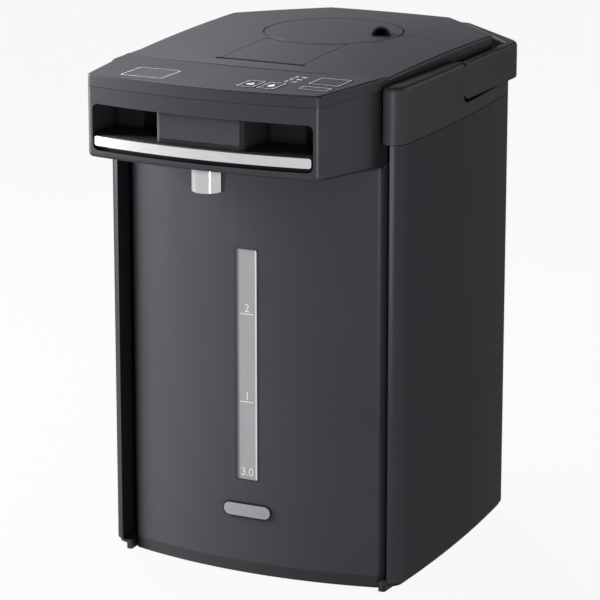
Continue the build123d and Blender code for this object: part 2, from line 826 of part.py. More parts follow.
def top_frame():
    """The moulding that ties the body together round the vessel's neck."""
    inner = body_plan(frame_wall)
    ring = slab(body_plan(), frame_bottom_z, handle_ledge_z)
    ring -= slab(inner, frame_bottom_z - 1, handle_ledge_z - frame_wall)
    upper = slab(upper_plan(), frame_bottom_z, deck_top_z)
    upper -= slab(drawn_in(upper_plan(), frame_wall), frame_bottom_z - 1, deck_top_z - frame_wall)
    hollow = slab(drawn_in(upper_plan(), frame_wall), frame_bottom_z - 1, deck_top_z - frame_wall)
    frame = (ring - hollow) + upper + rails()
    front_cut = head_back_half_width + rail_gap
    frame -= block(-front_cut, front_cut, 2 * column_front_y, frame_front_y, 0, rail_top_z + 1)
    skirt = block(
        -head_back_half_width, head_back_half_width, frame_front_y,
        frame_front_y + frame_wall, head_bottom_z, deck_top_z
    )
    skirt += block(
        -head_back_half_width, head_back_half_width, frame_front_y,
        groove_floor_y - fit_gap, head_bottom_z, head_bottom_z + frame_wall
    )
    frame += skirt
    frame += post(well_r + well_wall, neck_seat_z, deck_top_z)
    frame -= post(well_r, packing_bottom_z, rail_top_z + 1)
    frame -= post(neck_seat_r, neck_seat_z - 1, packing_bottom_z + 1)
    trough = block(
        -lid_rear_half_width - 15, lid_rear_half_width + 15,
        well_r + 8, upper_rear_y + 1, trough_z, deck_top_z + 1
    )
    frame -= trough
    floor = block(
        -upper_rear_half_width, upper_rear_half_width,
        well_r + 8 - frame_wall, upper_rear_y, trough_z - frame_wall,
        trough_z
    )
    frame += floor
    frame += block(
        -upper_rear_half_width, upper_rear_half_width,
        well_r + 8 - frame_wall, well_r + 8, trough_z - frame_wall,
        deck_top_z
    )
    frame += hinge_ears()
    frame -= post(valve_r + 1, 0, spout_pipe_z + valve_r + 1, 0, riser_y)
    for side in (-1, 1):
        wall = side * upper_half_width
        back = side * (upper_half_width - handle_pin_length + handle_hole_depth)
        frame += cross_bar(
            handle_pin_r + frame_wall, min(wall, back), max(wall, back), pivot_y, pivot_z
        ) & block(-200, 200, -50, 50, handle_ledge_z, deck_top_z)
        frame -= cross_bar(handle_pin_r, min(wall, back) - 1, max(wall, back) + 1, pivot_y, pivot_z)
    return frame


def hinge_ears():
    """Two pairs of ears that hold the hinge pins."""
    ears = Part()
    for side in (-1, 1):
        near = side * ear_inner_x
        far = side * (ear_inner_x + ear_width)
        low, high = min(near, far), max(near, far)
        ears += cross_bar(ear_r, low, high, hinge_y, hinge_z)
        ears += block(low, high, hinge_y - ear_r, hinge_y + ear_r, trough_z - frame_wall, hinge_z)
        ears -= cross_bar(hinge_pin_r, low - 1, high + 1, hinge_y, hinge_z)
    return ears


def hinge_pins():
    reach = knuckle_width - 1
    pins = Part()
    for side in (-1, 1):
        near = side * (ear_inner_x - reach)
        far = side * (ear_inner_x + ear_width + reach)
        pins += cross_bar(hinge_pin_r, min(near, far), max(near, far), hinge_y, hinge_z)
    return pins


# ---- Head ----
def head_opening(grow=0.0, depth=60.0):
    """The wide opening in the head's face."""
    width = 2 * (opening_half_width + grow)
    height = opening_top_z - opening_bottom_z + 2 * grow
    outline = RectangleRounded(width, height, opening_corner_r + grow)
    start = Pos(0, head_middle_y - 5, (opening_top_z + opening_bottom_z) / 2) * Rot(90, 0, 0)
    return extrude(start * outline, amount=depth, dir=(0, 1, 0))


def under_head(lift=0.0):
    """The space below the head's underside, which rises to the front."""
    back_y = 0.0
    front_y = 2 * head_middle_y
    back_z = head_bottom_z + lift + chin_slope * (head_back_y - back_y)
    front_z = head_bottom_z + lift + chin_slope * (head_back_y - front_y)
    side_view = Plane.YZ * make_face(
        Polyline((back_y, 0), (back_y, back_z), (front_y, front_z), (front_y, 0), close=True)
    )
    return extrude(side_view, amount=2 * column_half_width, both=True)


def head_housing():
    housing = slab(head_plan(), head_bottom_z - 1, head_top_z) - under_head()
    lower_edges = housing.faces().sort_by(Axis.Z)[0].edges().sort_by(Axis.Y)[:-1]
    housing = fillet(lower_edges, head_lower_r)
    inside = drawn_in(head_plan(), head_wall)
    housing -= slab(inside, head_bottom_z, head_top_z + 1) - under_head(head_wall)
    half = head_back_half_width - head_wall - 0.5
    housing -= block(
        -half, half, head_back_y - 2 * head_wall, head_back_y + 1, head_bottom_z + head_wall, head_top_z + 1
    )
    opening = head_opening(0.0, head_wall * 6)
    housing -= opening & slab(head_plan(-1), head_bottom_z, head_top_z)
    housing -= post(nozzle_r + fit_gap, head_bottom_z - 1, nozzle_flange_z + 1, 0, nozzle_y)
    housing -= post(
        riser_r + valve_wall + fit_gap, head_bottom_z - 1, head_bottom_z + head_wall + 1, 0, riser_y
    )
    return housing


def cavity_solid(grow=0.0):
    """The space behind the opening, on both sides of the spout block."""
    half = opening_half_width + 1 + grow
    return block(
        -half, half, 1.1 * head_middle_y, cavity_back_y + grow, cavity_floor_z - grow, cavity_ceiling_z + grow
    )


def block_solid(shrink=0.0, back=1.0):
    half = block_half_width - shrink
    plan = Pos(0, (block_front_y + shrink + cavity_back_y + back) / 2) * RectangleRounded(
        2 * half, cavity_back_y + back - block_front_y - shrink, max(block_corner_r - shrink, 0.8)
    )
    return slab(plan, cavity_floor_z - liner_wall - 1, cavity_ceiling_z + liner_wall + 1)


def liner_space():
    """What the head's wall leaves free behind the bar."""
    return slab(
        head_plan(bar_setback + bar_thickness), head_bottom_z, head_top_z
    ) - under_head(head_wall + fit_gap)


def recess_liner():
    """The dark box behind the opening, with the hollow spout block in its middle."""
    spout_block = block_solid()
    hollow = block_solid(liner_wall, 4 * liner_wall)
    liner = cavity_solid(liner_wall) - cavity_solid()
    liner += spout_block & cavity_solid(liner_wall)
    liner -= hollow
    lip_top = cavity_floor_z
    lip = slab(
        head_plan(bar_setback + bar_thickness) - head_plan(bar_setback + bar_thickness + liner_wall),
        opening_bottom_z - 2, lip_top
    )
    half = opening_half_width + 1 + liner_wall
    lip &= block(-half, half, 2 * head_middle_y, cavity_back_y, 0, lip_top)
    liner += lip
    liner &= liner_space()
    cover_pocket = block(
        -cover_half_width - 0.1,
        cover_half_width + 0.1,
        2 * head_middle_y,
        block_front_y + 0.6,
        cover_bottom_z - 0.1,
        cavity_ceiling_z + liner_wall + 1,
    )
    liner -= post(nozzle_r + nozzle_flange + fit_gap, head_bottom_z, nozzle_top_z + fit_gap, 0, nozzle_y)
    return liner - cover_pocket


def spout_cover():
    """The plain face plate of the spout block."""
    half = cover_half_width
    plate = block(
        -half, half, block_front_y + 0.6 - cover_thickness,
        block_front_y + 0.6, cover_bottom_z, cavity_ceiling_z
    )
    edges = plate.edges().filter_by(Axis.Z).group_by(Axis.Y)[0]
    return fillet(edges, cover_thickness / 2)


def trim_bar():
    """The brushed bar across the foot of the opening, bowed like the face."""
    plan = head_plan(bar_setback) - head_plan(bar_setback + bar_thickness)
    bar = slab(plan, bar_bottom_z, bar_bottom_z + bar_height)
    height = bar_height
    ends = RectangleRounded(2 * bar_half_width, height, 1.6)
    keep = Pos(0, head_middle_y - 5, bar_bottom_z + height / 2) * Rot(90, 0, 0) * ends
    return bar & extrude(keep, amount=30, dir=(0, 1, 0))


def nozzle_sleeve():
    sleeve = pipe(nozzle_r, nozzle_r - nozzle_wall, nozzle_bottom_z, nozzle_top_z, 0, nozzle_y)
    low_edges = sleeve.edges().filter_by(GeomType.CIRCLE).group_by(Axis.Z)[0]
    sleeve = fillet(low_edges.sort_by(SortBy.RADIUS)[-1:], nozzle_wall / 2)
    flange = pipe(
        nozzle_r + nozzle_flange, nozzle_r - nozzle_wall, nozzle_flange_z, nozzle_top_z, 0, nozzle_y
    )
    return sleeve + flange


def nozzle_tube():
    """The dark core of the nozzle, round the water's last drop."""
    outer = nozzle_r - nozzle_wall - 0.1
    core = post(outer, nozzle_bottom_z + spout_tip_drop, nozzle_top_z, 0, nozzle_y)
    return core - post(spout_bore_r + spout_pipe_wall, nozzle_bottom_z, nozzle_top_z + 1, 0, nozzle_y)


def spout_path():
    """From the anti-spill valve forward through the block and down the nozzle."""
    start_y = riser_y - valve_r
    return FilletPolyline(
        (0, start_y, spout_pipe_z),
        (0, nozzle_y, spout_pipe_z),
        (0, nozzle_y, nozzle_bottom_z + spout_tip_drop),
        radius=spout_bend_r,
    )


def tube_along(path, outer, inner):
    """A tube swept along a path of straight runs and arcs."""
    start = Plane(origin=path @ 0, z_dir=path % 0)
    return sweep(start * Circle(outer), path) - sweep(start * Circle(inner), path)


def spout_pipe():
    return tube_along(spout_path(), spout_bore_r + spout_pipe_wall - 0.1, spout_bore_r)


def spill_valve():
    """The chamber on top of the riser, which a ball shuts when the pot tips."""
    low = riser_top_z - 8
    high = spout_pipe_z + valve_r
    body = post(riser_r + valve_wall, low, valve_seat_z, 0, riser_y)
    body += post(valve_r, valve_seat_z - 2, high, 0, riser_y)
    body -= post(riser_r + 0.1, low - 1, riser_top_z, 0, riser_y)
    body -= post(riser_bore_r, riser_top_z - 1, valve_seat_z + 1, 0, riser_y)
    half = valve_cone_height / 2
    body -= Pos(0, riser_y, valve_seat_z + half) * Cone(riser_bore_r, valve_r - valve_wall, valve_cone_height)
    body -= post(valve_r - valve_wall, valve_seat_z + valve_cone_height - 0.1, high - valve_wall, 0, riser_y)
    port = Pos(0, riser_y - valve_r / 2, spout_pipe_z) * Rot(90, 0, 0) * Cylinder(spout_bore_r, valve_r + 2)
    return body - port


def spill_valve_ball():
    spread = (valve_r - valve_wall - riser_bore_r) / valve_cone_height
    lean = sqrt(1 + spread**2)
    rise = (valve_ball_r * lean - riser_bore_r) / spread
    return Pos(0, riser_y, valve_seat_z + rise + 0.03) * Sphere(valve_ball_r)


# ---- Control panel ----
def key_frames():
    """Each key's name, middle and size on the control panel."""
    narrow_y = head_front_y + narrow_key_setback
    unlock_x = narrow_key_x - narrow_key_pitch / 2
    dispense_x = narrow_key_x + narrow_key_pitch / 2
    return {
        "unlock_key": (unlock_x, narrow_y, narrow_key_width, narrow_key_depth),
        "dispense_key": (dispense_x, narrow_y, narrow_key_width, narrow_key_depth),
        "warm_key": (warm_key_x, head_front_y + warm_key_setback, warm_key_size, warm_key_size),
        "boil_key": (boil_key_x, head_front_y + boil_key_setback, boil_key_width, boil_key_depth),
    }


def key_plan(frame, grow):
    x, y, width, depth = frame
    return Pos(x, y) * RectangleRounded(width + 2 * grow, depth + 2 * grow, key_corner_r)


def control_panel():
    panel = slab(control_plan(), head_top_z + 0.2, panel_top_z)
    panel = fillet(panel.faces().sort_by(Axis.Z)[-1].edges(), edge_round_r)
    panel -= slab(drawn_in(control_plan(), top_wall), head_top_z, panel_underside_z)
    lip = slab(control_plan() + lip_plan(), deck_top_z - panel_lip, deck_top_z)
    lip &= block(
        -lip_half_width, lip_half_width, split_side_y - split_bow - 6, frame_front_y - fit_gap, 0, panel_top_z
    )
    lip -= slab(drawn_in(control_plan(), top_wall), 0, panel_underside_z)
    stem = slab(control_plan() - drawn_in(control_plan(), top_wall), deck_top_z - panel_lip, head_top_z + 0.3)
    stem &= block(
        -lip_half_width, lip_half_width, split_side_y - split_bow - 2, frame_front_y - fit_gap, 0, panel_top_z
    )
    panel += lip + stem
    strike = block(
        -latch_width / 2 - 1, latch_width / 2 + 1, split_side_y - split_bow - 4,
        split_side_y - split_bow, latch_bottom_z - 0.8, latch_bottom_z + latch_thickness + 0.8
    )
    panel -= strike
    for frame in key_frames().values():
        panel -= slab(key_plan(frame, key_gap), head_top_z, panel_top_z + 1)
    panel -= display_solid(0.1, panel_top_z + 1)
    panel -= module_solid(fit_gap, head_top_z)
    for y in lamp_rows():
        panel -= lamp_solid(y, 0.1)
    for x, y in post_points():
        panel += post(screw_post_r, board_top_z, panel_underside_z + 0.5, x, y)
    return panel


def lip_plan():
    """The strip under the lid's front edge."""
    rear = split_arc(panel_lip_overlap + split_bow)
    front = split_arc(-split_gap - 1)
    outline = front + Line(front @ 1, rear @ 1) + rear + Line(rear @ 0, front @ 0)
    return make_face(outline)


def post_points():
    """Where the control board is screwed to the panel."""
    front_x = head_front_half_width - 9
    back_x = head_back_half_width - 11.5
    front_y = head_front_y + 8
    back_y = head_back_y - 13
    return [
        (-front_x, front_y), (front_x, front_y), (-back_x, back_y), (back_x, back_y), (0, head_front_y + 19)
    ]


def lamp_rows():
    return [lamp_rear_y - i * lamp_pitch for i in range(lamp_count)]


def lamp_solid(y, grow=0.0):
    outline = Pos(lamp_x, y) * RectangleRounded(lamp_width + 2 * grow, lamp_length + 2 * grow, 0.8)
    return slab(
        outline, board_top_z + 1 if not grow else head_top_z,
        panel_top_z + 0.05 if not grow else panel_top_z + 1
    )


def indicator_lenses():
    lenses = Part()
    for y in lamp_rows():
        lenses += lamp_solid(y)
    return lenses


def display_solid(grow, top):
    outline = Pos(display_x, display_y) * RectangleRounded(
        display_width + 2 * grow, display_depth + 2 * grow, 1.0
    )
    return slab(outline, panel_top_z - display_thickness, top)


def module_solid(grow, low):
    """The display module that shows through the window."""
    width = display_width - 2 * display_bezel + 2 * grow
    depth = display_depth - 2 * display_bezel + 2 * grow
    return slab(Pos(display_x, display_y) * Rectangle(width, depth), low, panel_top_z - display_thickness)


def display_lens():
    return display_solid(0.0, panel_top_z - 0.1)


def control_key(frame):
    """A key with a flange that keeps it under the panel."""
    top = panel_top_z + key_proud
    key = slab(key_plan(frame, 0), key_bottom_z + 1.2, top)
    key = fillet(key.faces().sort_by(Axis.Z)[-1].edges(), 0.25)
    x, y, width, depth = frame
    flange = Pos(x, y) * Rectangle(width, depth + 2 * key_flange)
    key += slab(flange, key_bottom_z + 1.2, panel_underside_z - 0.2)
    key += post(2.0, key_bottom_z, key_bottom_z + 2, x, y)
    return key


def control_board():
    """The circuit board with its switches, lamps and display module."""
    plan = drawn_in(control_plan(), top_wall + board_inset)
    plan &= Pos(0, (head_front_y + head_back_y) / 2 - 5) * Rectangle(
        4 * head_back_half_width, head_depth - 12
    )
    board = slab(plan, board_z, board_top_z)
    for frame in key_frames().values():
        x, y, width, depth = frame
        board += post(switch_r, board_top_z, board_top_z + switch_height, x, y)
    for y in lamp_rows():
        board += block(lamp_x - 1, lamp_x + 1, y - 1, y + 1, board_top_z, board_top_z + 1)
    return board + module_solid(0, board_top_z)


# ---- Handle ----
def handle_plan():
    """A U that passes round the back of the lid, with chamfered corners."""
    inner_x = handle_inner_x
    outer = [
        (handle_outer_x, arm_end_y),
        (handle_outer_x, arm_corner_y),
        (handle_outer_x - arm_chamfer, arm_corner_y + 1.5 * arm_chamfer),
        (bar_corner_half_width, handle_rear_y),
    ]
    inner_rear_y = handle_rear_y - handle_bar_depth
    inner = [
        (bar_corner_half_width + 2, inner_rear_y),
        (inner_x, arm_corner_y - 5),
        (inner_x, arm_end_y),
    ]
    right = outer
    left = [(-x, y) for x, y in reversed(outer)]
    inner_left = [(-x, y) for x, y in reversed(inner)]
    return make_face(Polyline(*right, *left, *inner_left, *inner, close=True))


def handle():
    grip = slab(handle_plan(), handle_bottom_z, handle_bottom_z + handle_height)
    upright = grip.edges().filter_by(Axis.Z)
    outer_corners = [
        e for e in upright if abs(e.center().X) > handle_outer_x - 0.1 and e.center().Y < arm_end_y + 1
    ]
    grip = fillet(outer_corners, arm_thickness - 2)
    rear = [e for e in grip.edges().filter_by(Axis.Z) if e.center().Y > handle_rear_y - handle_bar_depth - 1]
    grip = fillet(rear, grip_corner_r)
    side = [e for e in grip.edges().filter_by(Axis.Z) if arm_corner_y - 6 < e.center().Y < arm_corner_y + 7]
    grip = fillet(side, 3)
    rims = grip.faces().sort_by(Axis.Z)[-1].edges() + grip.faces().sort_by(Axis.Z)[0].edges()
    grip = fillet(rims, grip_round_r)
    length = handle_rear_y + 20 - arm_end_y
    middle = Pos(arm_end_y + length / 2, handle_bottom_z + handle_height / 2)
    side_view = Plane.YZ * middle * RectangleRounded(length, handle_height, arm_end_r)
    keep = extrude(side_view, amount=2 * handle_outer_x, both=True)
    grip &= keep
    for s in (-1, 1):
        inner = s * (handle_outer_x - arm_thickness)
        deep = s * (handle_outer_x - arm_thickness + handle_hole_depth)
        near = s * (handle_outer_x - arm_thickness - 1)
        grip -= cross_bar(handle_pin_r + running_gap, min(near, deep), max(near, deep), pivot_y, pivot_z)
    return grip


def handle_pins():
    pins = Part()
    tip = handle_outer_x - arm_thickness + handle_hole_depth - 0.3
    for s in (-1, 1):
        ends = (s * (tip - handle_pin_length), s * tip)
        pins += cross_bar(handle_pin_r, min(ends), max(ends), pivot_y, pivot_z)
    return pins


# ---- Lid ----
def lever_plan(gap=0.0):
    """The lever: straight sides, and a back edge that clears the steam cap."""
    half = lever_half_width + gap
    front = lever_front_y - gap
    plan = make_face(Polyline((-half, front), (half, front), (half, cap_y), (-half, cap_y), close=True))
    clear = cap_r + cap_gap + cap_wall + 0.6
    if not gap:
        clear += lever_rear_gap
    return plan - Pos(0, cap_y) * Circle(clear)


def lid_cover():
    """The domed outer lid, with the well for the steam cap and the lever's opening."""
    cover = slab(lid_plan(), lid_bottom_z, crown_apex_z + 2) & crown()
    cover = fillet(cover.faces().sort_by(Axis.Z)[-1].edges(), edge_round_r)
    inside = slab(drawn_in(lid_plan(), lid_wall), lid_bottom_z - 1, crown_apex_z + 1) & crown(lid_wall)
    cover -= inside
    well_outer = cap_r + cap_gap + cap_wall
    well = post(well_outer, cap_well_floor_z - cap_wall, crown_apex_z - lid_wall + 1, 0, cap_y) & crown(0.5)
    cover += well
    cover -= post(cap_r + cap_gap, cap_well_floor_z, crown_apex_z + 1, 0, cap_y)
    cover -= post(steam_hole_r, cap_well_floor_z - cap_wall - 1, cap_well_floor_z + 1, 0, cap_y)
    cover -= slab(lever_plan(lever_gap), lid_bottom_z, crown_apex_z + 1)
    slit_y = lever_front_y - slit_width
    cover -= block(-slit_half_width, slit_half_width, slit_y, lever_front_y, lid_bottom_z, crown_apex_z + 1)
    cover += lever_cheeks()
    cover -= lever_bores()
    slot_half = latch_width / 2 + fit_gap
    cover -= block(
        -slot_half, slot_half, split_side_y - split_bow - 1,
        split_side_y - split_bow + lid_wall + 1, latch_bottom_z - fit_gap,
        latch_bottom_z + latch_thickness + fit_gap
    )
    cover -= ear_slots()
    return cover


def lever_cheeks():
    """Bearing lugs for the lever's two trunnions."""
    cheeks = Part()
    for s in (-1, 1):
        near = s * (lever_half_width + lever_gap)
        far = s * (lever_half_width + lever_gap + lever_pin_length)
        cheeks += block(
            min(near, far), max(near, far), lever_axis_y - 4,
            lever_axis_y + 4, case_deck_z + case_deck, crown_apex_z
        )
    return cheeks & crown(0.5)


def lever_bores():
    bores = Part()
    for s in (-1, 1):
        near = s * lever_half_width
        far = s * (lever_half_width + lever_gap + lever_pin_length + 0.3)
        bores += cross_bar(
            lever_pin_r + running_gap, min(near, far), max(near, far), lever_axis_y, lever_axis_z
        )
    return bores


def ear_slots():
    """Room under the dome for the frame's hinge ears, open to the back."""
    slots = Part()
    for s in (-1, 1):
        ends = (s * (ear_inner_x - ear_gap), s * (ear_inner_x + ear_width + ear_gap))
        low = case_deck_z - 3
        high = hinge_z + ear_r + ear_gap
        slots += block(min(ends), max(ends), hinge_y - ear_r - 1, lid_rear_y + 1, low, high)
    return slots


def knuckles():
    """The lid's bearings on the hinge pins."""
    blocks = Part()
    for s in (-1, 1):
        for start in (ear_inner_x - ear_gap - knuckle_width, ear_inner_x + ear_width + ear_gap):
            ends = (s * start, s * (start + knuckle_width))
            body = block(
                min(ends), max(ends), hinge_y - ear_r,
                hinge_y + hinge_setback - lid_wall - fit_gap, case_deck_z,
                hinge_z + ear_r
            )
            blocks += body
    return blocks & slab(lid_plan(lid_wall + fit_gap), case_deck_z, crown_apex_z) & crown(lid_wall + fit_gap)


def knuckle_bores():
    """The running holes through the knuckles."""
    reach = ear_inner_x + ear_width + ear_gap + knuckle_width + 1
    return cross_bar(hinge_pin_r + running_gap, -reach, reach, hinge_y, hinge_z)


def lid_case():
    """The inner moulding: a deck under the cover and the tapered plug."""
    inset = lid_wall + fit_gap
    deck = slab(lid_plan(inset), case_deck_z, case_deck_z + case_deck)
    top_slope = (plug_top_r - plug_bottom_r) / (case_deck_z - plug_bottom_z)
    plug_height = case_deck_z - plug_bottom_z
    plug = Pos(0, 0, plug_bottom_z + plug_height / 2) * Cone(plug_bottom_r, plug_top_r, plug_height)
    grow = 2.0
    bore = Pos(0, 0, plug_bottom_z + plug_height / 2 - grow / 2) * Cone(
        plug_bottom_r - plug_wall - top_slope * grow, plug_top_r - plug_wall, plug_height + grow
    )
    case = deck + (plug - bore)
    well = cap_r + cap_gap + cap_wall + fit_gap
    case -= post(well, cap_well_floor_z - 10, case_deck_z + case_deck + 1, 0, cap_y)
    guides = Part()
    for s in (-1, 1):
        near = s * (latch_width / 2 + fit_gap)
        far = s * (latch_width / 2 + fit_gap + 2)
        ends = (split_side_y + 2, lever_front_y - 1.5)
        guides += block(
            min(near, far), max(near, far), *ends, case_deck_z + case_deck, latch_bottom_z + latch_thickness
        )
    case += guides
    case += knuckles()
    case -= ear_slots()
    case -= knuckle_bores()
    web_room = 2.5
    case -= block(
        -web_room, web_room, latch_pin_y - 8, latch_pin_y + 9, case_deck_z - 4, case_deck_z + case_deck + 1
    )
    return case


def lid_insulation():
    """The foam block inside the plug, with a hole for the steam tube."""
    slope = (plug_top_r - plug_bottom_r) / (case_deck_z - plug_bottom_z)
    low = plug_bottom_z + 0.5
    height = insulation_top_z - low
    small = plug_bottom_r - plug_wall - fit_gap + slope * (low - plug_bottom_z)
    foam = Pos(0, 0, low + height / 2) * Cone(small, small + slope * height, height)
    return foam - post(steam_hole_r + steam_tube_wall + fit_gap, low - 1, insulation_top_z + 1, 0, cap_y)


def inner_lid_plate():
    """The dished steel plate that closes the plug's foot."""
    rim = plug_bottom_r + 0.5
    plate = post(rim, plug_bottom_z - plate_sheet, plug_bottom_z)
    dish = Pos(0, 0, plate_z + plate_dish / 2 - plate_sheet) * Cone(rim - 10, rim - 6, plate_dish)
    dish -= Pos(0, 0, plate_z + plate_dish / 2) * Cone(
        rim - 10 - plate_sheet, rim - 6 - plate_sheet, plate_dish
    )
    plate -= Pos(0, 0, plate_z + plate_dish / 2) * Cone(
        rim - 10 - plate_sheet, rim - 6 - plate_sheet, plate_dish
    )
    plate += dish
    return plate - post(steam_hole_r - 1, plate_z - 3, plug_bottom_z + 1, 0, cap_y)


def lid_packing():
    """The soft ring that seals the lid on the vessel's rim."""
    inner = plug_bottom_r + 0.6
    outer = inner + 5.5
    low = rim_z + vessel_sheet + seal_gap
    ring = pipe(outer, inner, low, plug_bottom_z)
    ring -= pipe(outer - 1.6, inner + 1.6, low + 1.8, plug_bottom_z - 2.2)
    return ring


def steam_tube():
    low = plate_z
    high = cap_well_floor_z - cap_wall
    return pipe(steam_hole_r + steam_tube_wall, steam_hole_r, low, high, 0, cap_y)


# ---- Steam cap ----
def steam_cap():
    """The domed disc that lifts out of the lid, with its steam hood."""
    disc = post(cap_r, cap_well_floor_z + 2, crown_apex_z + 1, 0, cap_y) & crown()
    disc = fillet(disc.faces().sort_by(Axis.Z)[-1].edges(), 0.4)
    hollow = post(cap_r - cap_wall, cap_well_floor_z + 1, crown_apex_z + 1, 0, cap_y) & crown(cap_wall)
    disc += hood_solid(0.0) & post(cap_r, crown_apex_z - cap_wall - 2, crown_apex_z + hood_r, 0, cap_y)
    disc -= hollow
    return disc - hood_solid(hood_wall)


def hood_solid(shrink):
    """A scoop for the steam: a half cone that lies on the cap, open at its mouth."""
    small = max(hood_tip_r - shrink, 0.3)
    cone = Cone(hood_r - shrink, small, hood_length - shrink)
    along = Rot(0, 0, hood_turn) * Rot(0, 90, 0) * Pos(0, 0, (hood_length - shrink) / 2) * cone
    level = crown_apex_z - (hood_x**2 + hood_y**2) / (2 * crown_r)
    return Pos(hood_x, cap_y + hood_y, level) * along


def steam_cap_base():
    """The labyrinth plate under the disc, with the spigot into the lid."""
    low = cap_well_floor_z + 0.3
    plate = post(cap_r - cap_wall - 0.2, low, low + 2.0, 0, cap_y)
    plate += post(steam_hole_r - 1.4, cap_well_floor_z - 5, low + 1, 0, cap_y)
    plate -= post(steam_hole_r - 3, cap_well_floor_z - 6, low + 3, 0, cap_y)
    for radius in (baffle_r - baffle_pitch, baffle_r):
        plate += pipe(radius, radius - baffle_wall, low + 1, low + 1 + baffle_height, 0, cap_y)
    return plate


def steam_seal():
    ring = Pos(0, cap_y, cap_well_floor_z - 2.2) * Torus(steam_hole_r - 1.35, 0.9)
    return ring - post(steam_hole_r - 1.4, cap_well_floor_z - 6, cap_well_floor_z + 2, 0, cap_y)


# ---- Lever and latch ----
def lid_lever():
    """The lid-opening lever, with trunnions at its sides and a cam web below."""
    plate = slab(lever_plan(), case_deck_z, crown_apex_z + 1) & crown()
    plate = plate - crown(lever_thickness)
    for s in (-1, 1):
        near = s * (lever_half_width - 2.0)
        tip = s * (lever_half_width + lever_pin_length)
        edge = s * lever_half_width
        lug = block(
            min(near, edge), max(near, edge), lever_axis_y - 3,
            lever_axis_y + 3, lever_axis_z - 1.8, crown_apex_z
        )
        plate += lug & crown(0.3)
        plate += cross_bar(lever_pin_r, min(near, tip), max(near, tip), lever_axis_y, lever_axis_z)
    web_low = cam_point(lever_lift_angle)[1] - latch_pin_r - 1.4
    web = block(-1.2, 1.2, latch_pin_y - 3, latch_pin_y + 8, web_low, crown_apex_z) & crown(0.5)
    web -= cam_slot()
    return plate + web


def cam_point(angle):
    """Where the latch's cross pin lies on the lever when the lever is lifted by an angle."""
    slid = latch_travel * angle / lever_lift_angle
    y = latch_pin_y + slid - lever_axis_y
    z = latch_pin_z - lever_axis_z
    turn = radians(angle)
    back_y = y * cos(turn) - z * sin(turn)
    back_z = y * sin(turn) + z * cos(turn)
    return (lever_axis_y + back_y, lever_axis_z + back_z)


def cam_slot():
    """The slot that draws the latch back as the lever rises."""
    start, middle, end = [cam_point(a) for a in (0, lever_lift_angle / 2, lever_lift_angle)]
    arc = ThreePointArc(start, middle, end)
    groove = SlotArc(arc=arc, height=2 * (latch_pin_r + 0.35))
    placed = Plane(origin=(-3, 0, 0), x_dir=(0, 1, 0), z_dir=(1, 0, 0)) * groove
    return extrude(placed, amount=6, dir=(1, 0, 0))


def latch_slide():
    """The sliding latch, which the lever draws back."""
    nose_y = split_side_y - split_bow + latch_nose_gap
    half = latch_width / 2
    slide = block(-half, half, nose_y, latch_pin_y + 3.5, latch_bottom_z, latch_bottom_z + latch_thickness)
    slide -= block(-1.2 - fit_gap, 1.2 + fit_gap, latch_pin_y - 9, latch_pin_y + 9, 0, crown_apex_z)
    slide += cross_bar(latch_pin_r, -half, half, latch_pin_y, latch_pin_z)
    return slide


# ---- Pump ----
def pump_housing():
    housing = post(pump_r, pump_bottom_z, pump_top_z, 0, outlet_y)
    housing += post(outlet_r, pump_top_z - 1, pump_top_z + 6, 0, outlet_y)
    spigot = Pos(0, outlet_y - pump_r - 4, pump_port_z) * Rot(90, 0, 0) * Cylinder(riser_r, 14)
    housing += spigot
    for s in (-1, 1):
        ends = (s * (pump_r - 3), s * (pump_r + 2 * boss_r))
        housing += block(
            min(ends), max(ends), outlet_y - boss_r, outlet_y + boss_r, pump_bottom_z, pump_bottom_z + 3
        )
    housing += pipe(
        pump_r, pump_r - pump_wall, pump_bottom_z - magnet_height - 2.5, pump_bottom_z + 1, 0, outlet_y
    )
    housing -= post(pump_r - pump_wall, pump_bottom_z + pump_wall, pump_top_z - pump_wall, 0, outlet_y)
    housing -= post(outlet_r - 1.4, pump_top_z - 3, pump_top_z + 7, 0, outlet_y)
    housing -= Pos(0, outlet_y - pump_r - 2, pump_port_z) * Rot(90, 0, 0) * Cylinder(riser_bore_r, 19)
    housing += post(pump_shaft_r, pump_bottom_z + 1, pump_top_z - pump_wall - 1.5, 0, outlet_y)
    return housing


def pump_impeller():
    low = pump_bottom_z + pump_wall + 0.6
    wheel = post(impeller_r, low, low + impeller_disc, 0, outlet_y)
    wheel += post(4.0, low, low + impeller_disc + vane_height - 0.5, 0, outlet_y)
    for i in range(vane_count):
        vane = Pos(0, outlet_y, 0) * Rot(0, 0, i * 360 / vane_count) * block(
            3.0, impeller_r - 0.5, -vane_thickness / 2, vane_thickness / 2,
            low + impeller_disc - 0.1, low + impeller_disc + vane_height
        )
        wheel += vane
    return wheel - post(pump_shaft_r + running_gap, low - 1, low + 20, 0, outlet_y)


def drive_magnet():
    high = pump_bottom_z - 0.8
    return pipe(magnet_r, 1.0, high - magnet_height, high, 0, outlet_y)


def pump_motor():
    top = pump_bottom_z - magnet_height - 2.5
    motor = post(motor_r, top - motor_height, top, 0, outlet_y)
    motor += post(pump_r, top - 1.2, top, 0, outlet_y)
    motor += post(1.0 - running_gap, top - 1, pump_bottom_z - 1.2, 0, outlet_y)
    return motor


def suction_sleeve():
    low = pump_top_z + 0.5
    high = vessel_bottom_z - heater_cover_depth - 1.0
    return pipe(outlet_r + hose_wall, outlet_r + 0.1, low, high, 0, outlet_y)


def outlet_elbow():
    start_y = outlet_y - pump_r - 2
    path = FilletPolyline(
        (0, start_y, pump_port_z),
        (0, riser_y, pump_port_z),
        (0, riser_y, riser_bottom_z + 10),
        radius=hose_bend_r,
    )
    return tube_along(path, riser_r + hose_wall, riser_r + 0.1)


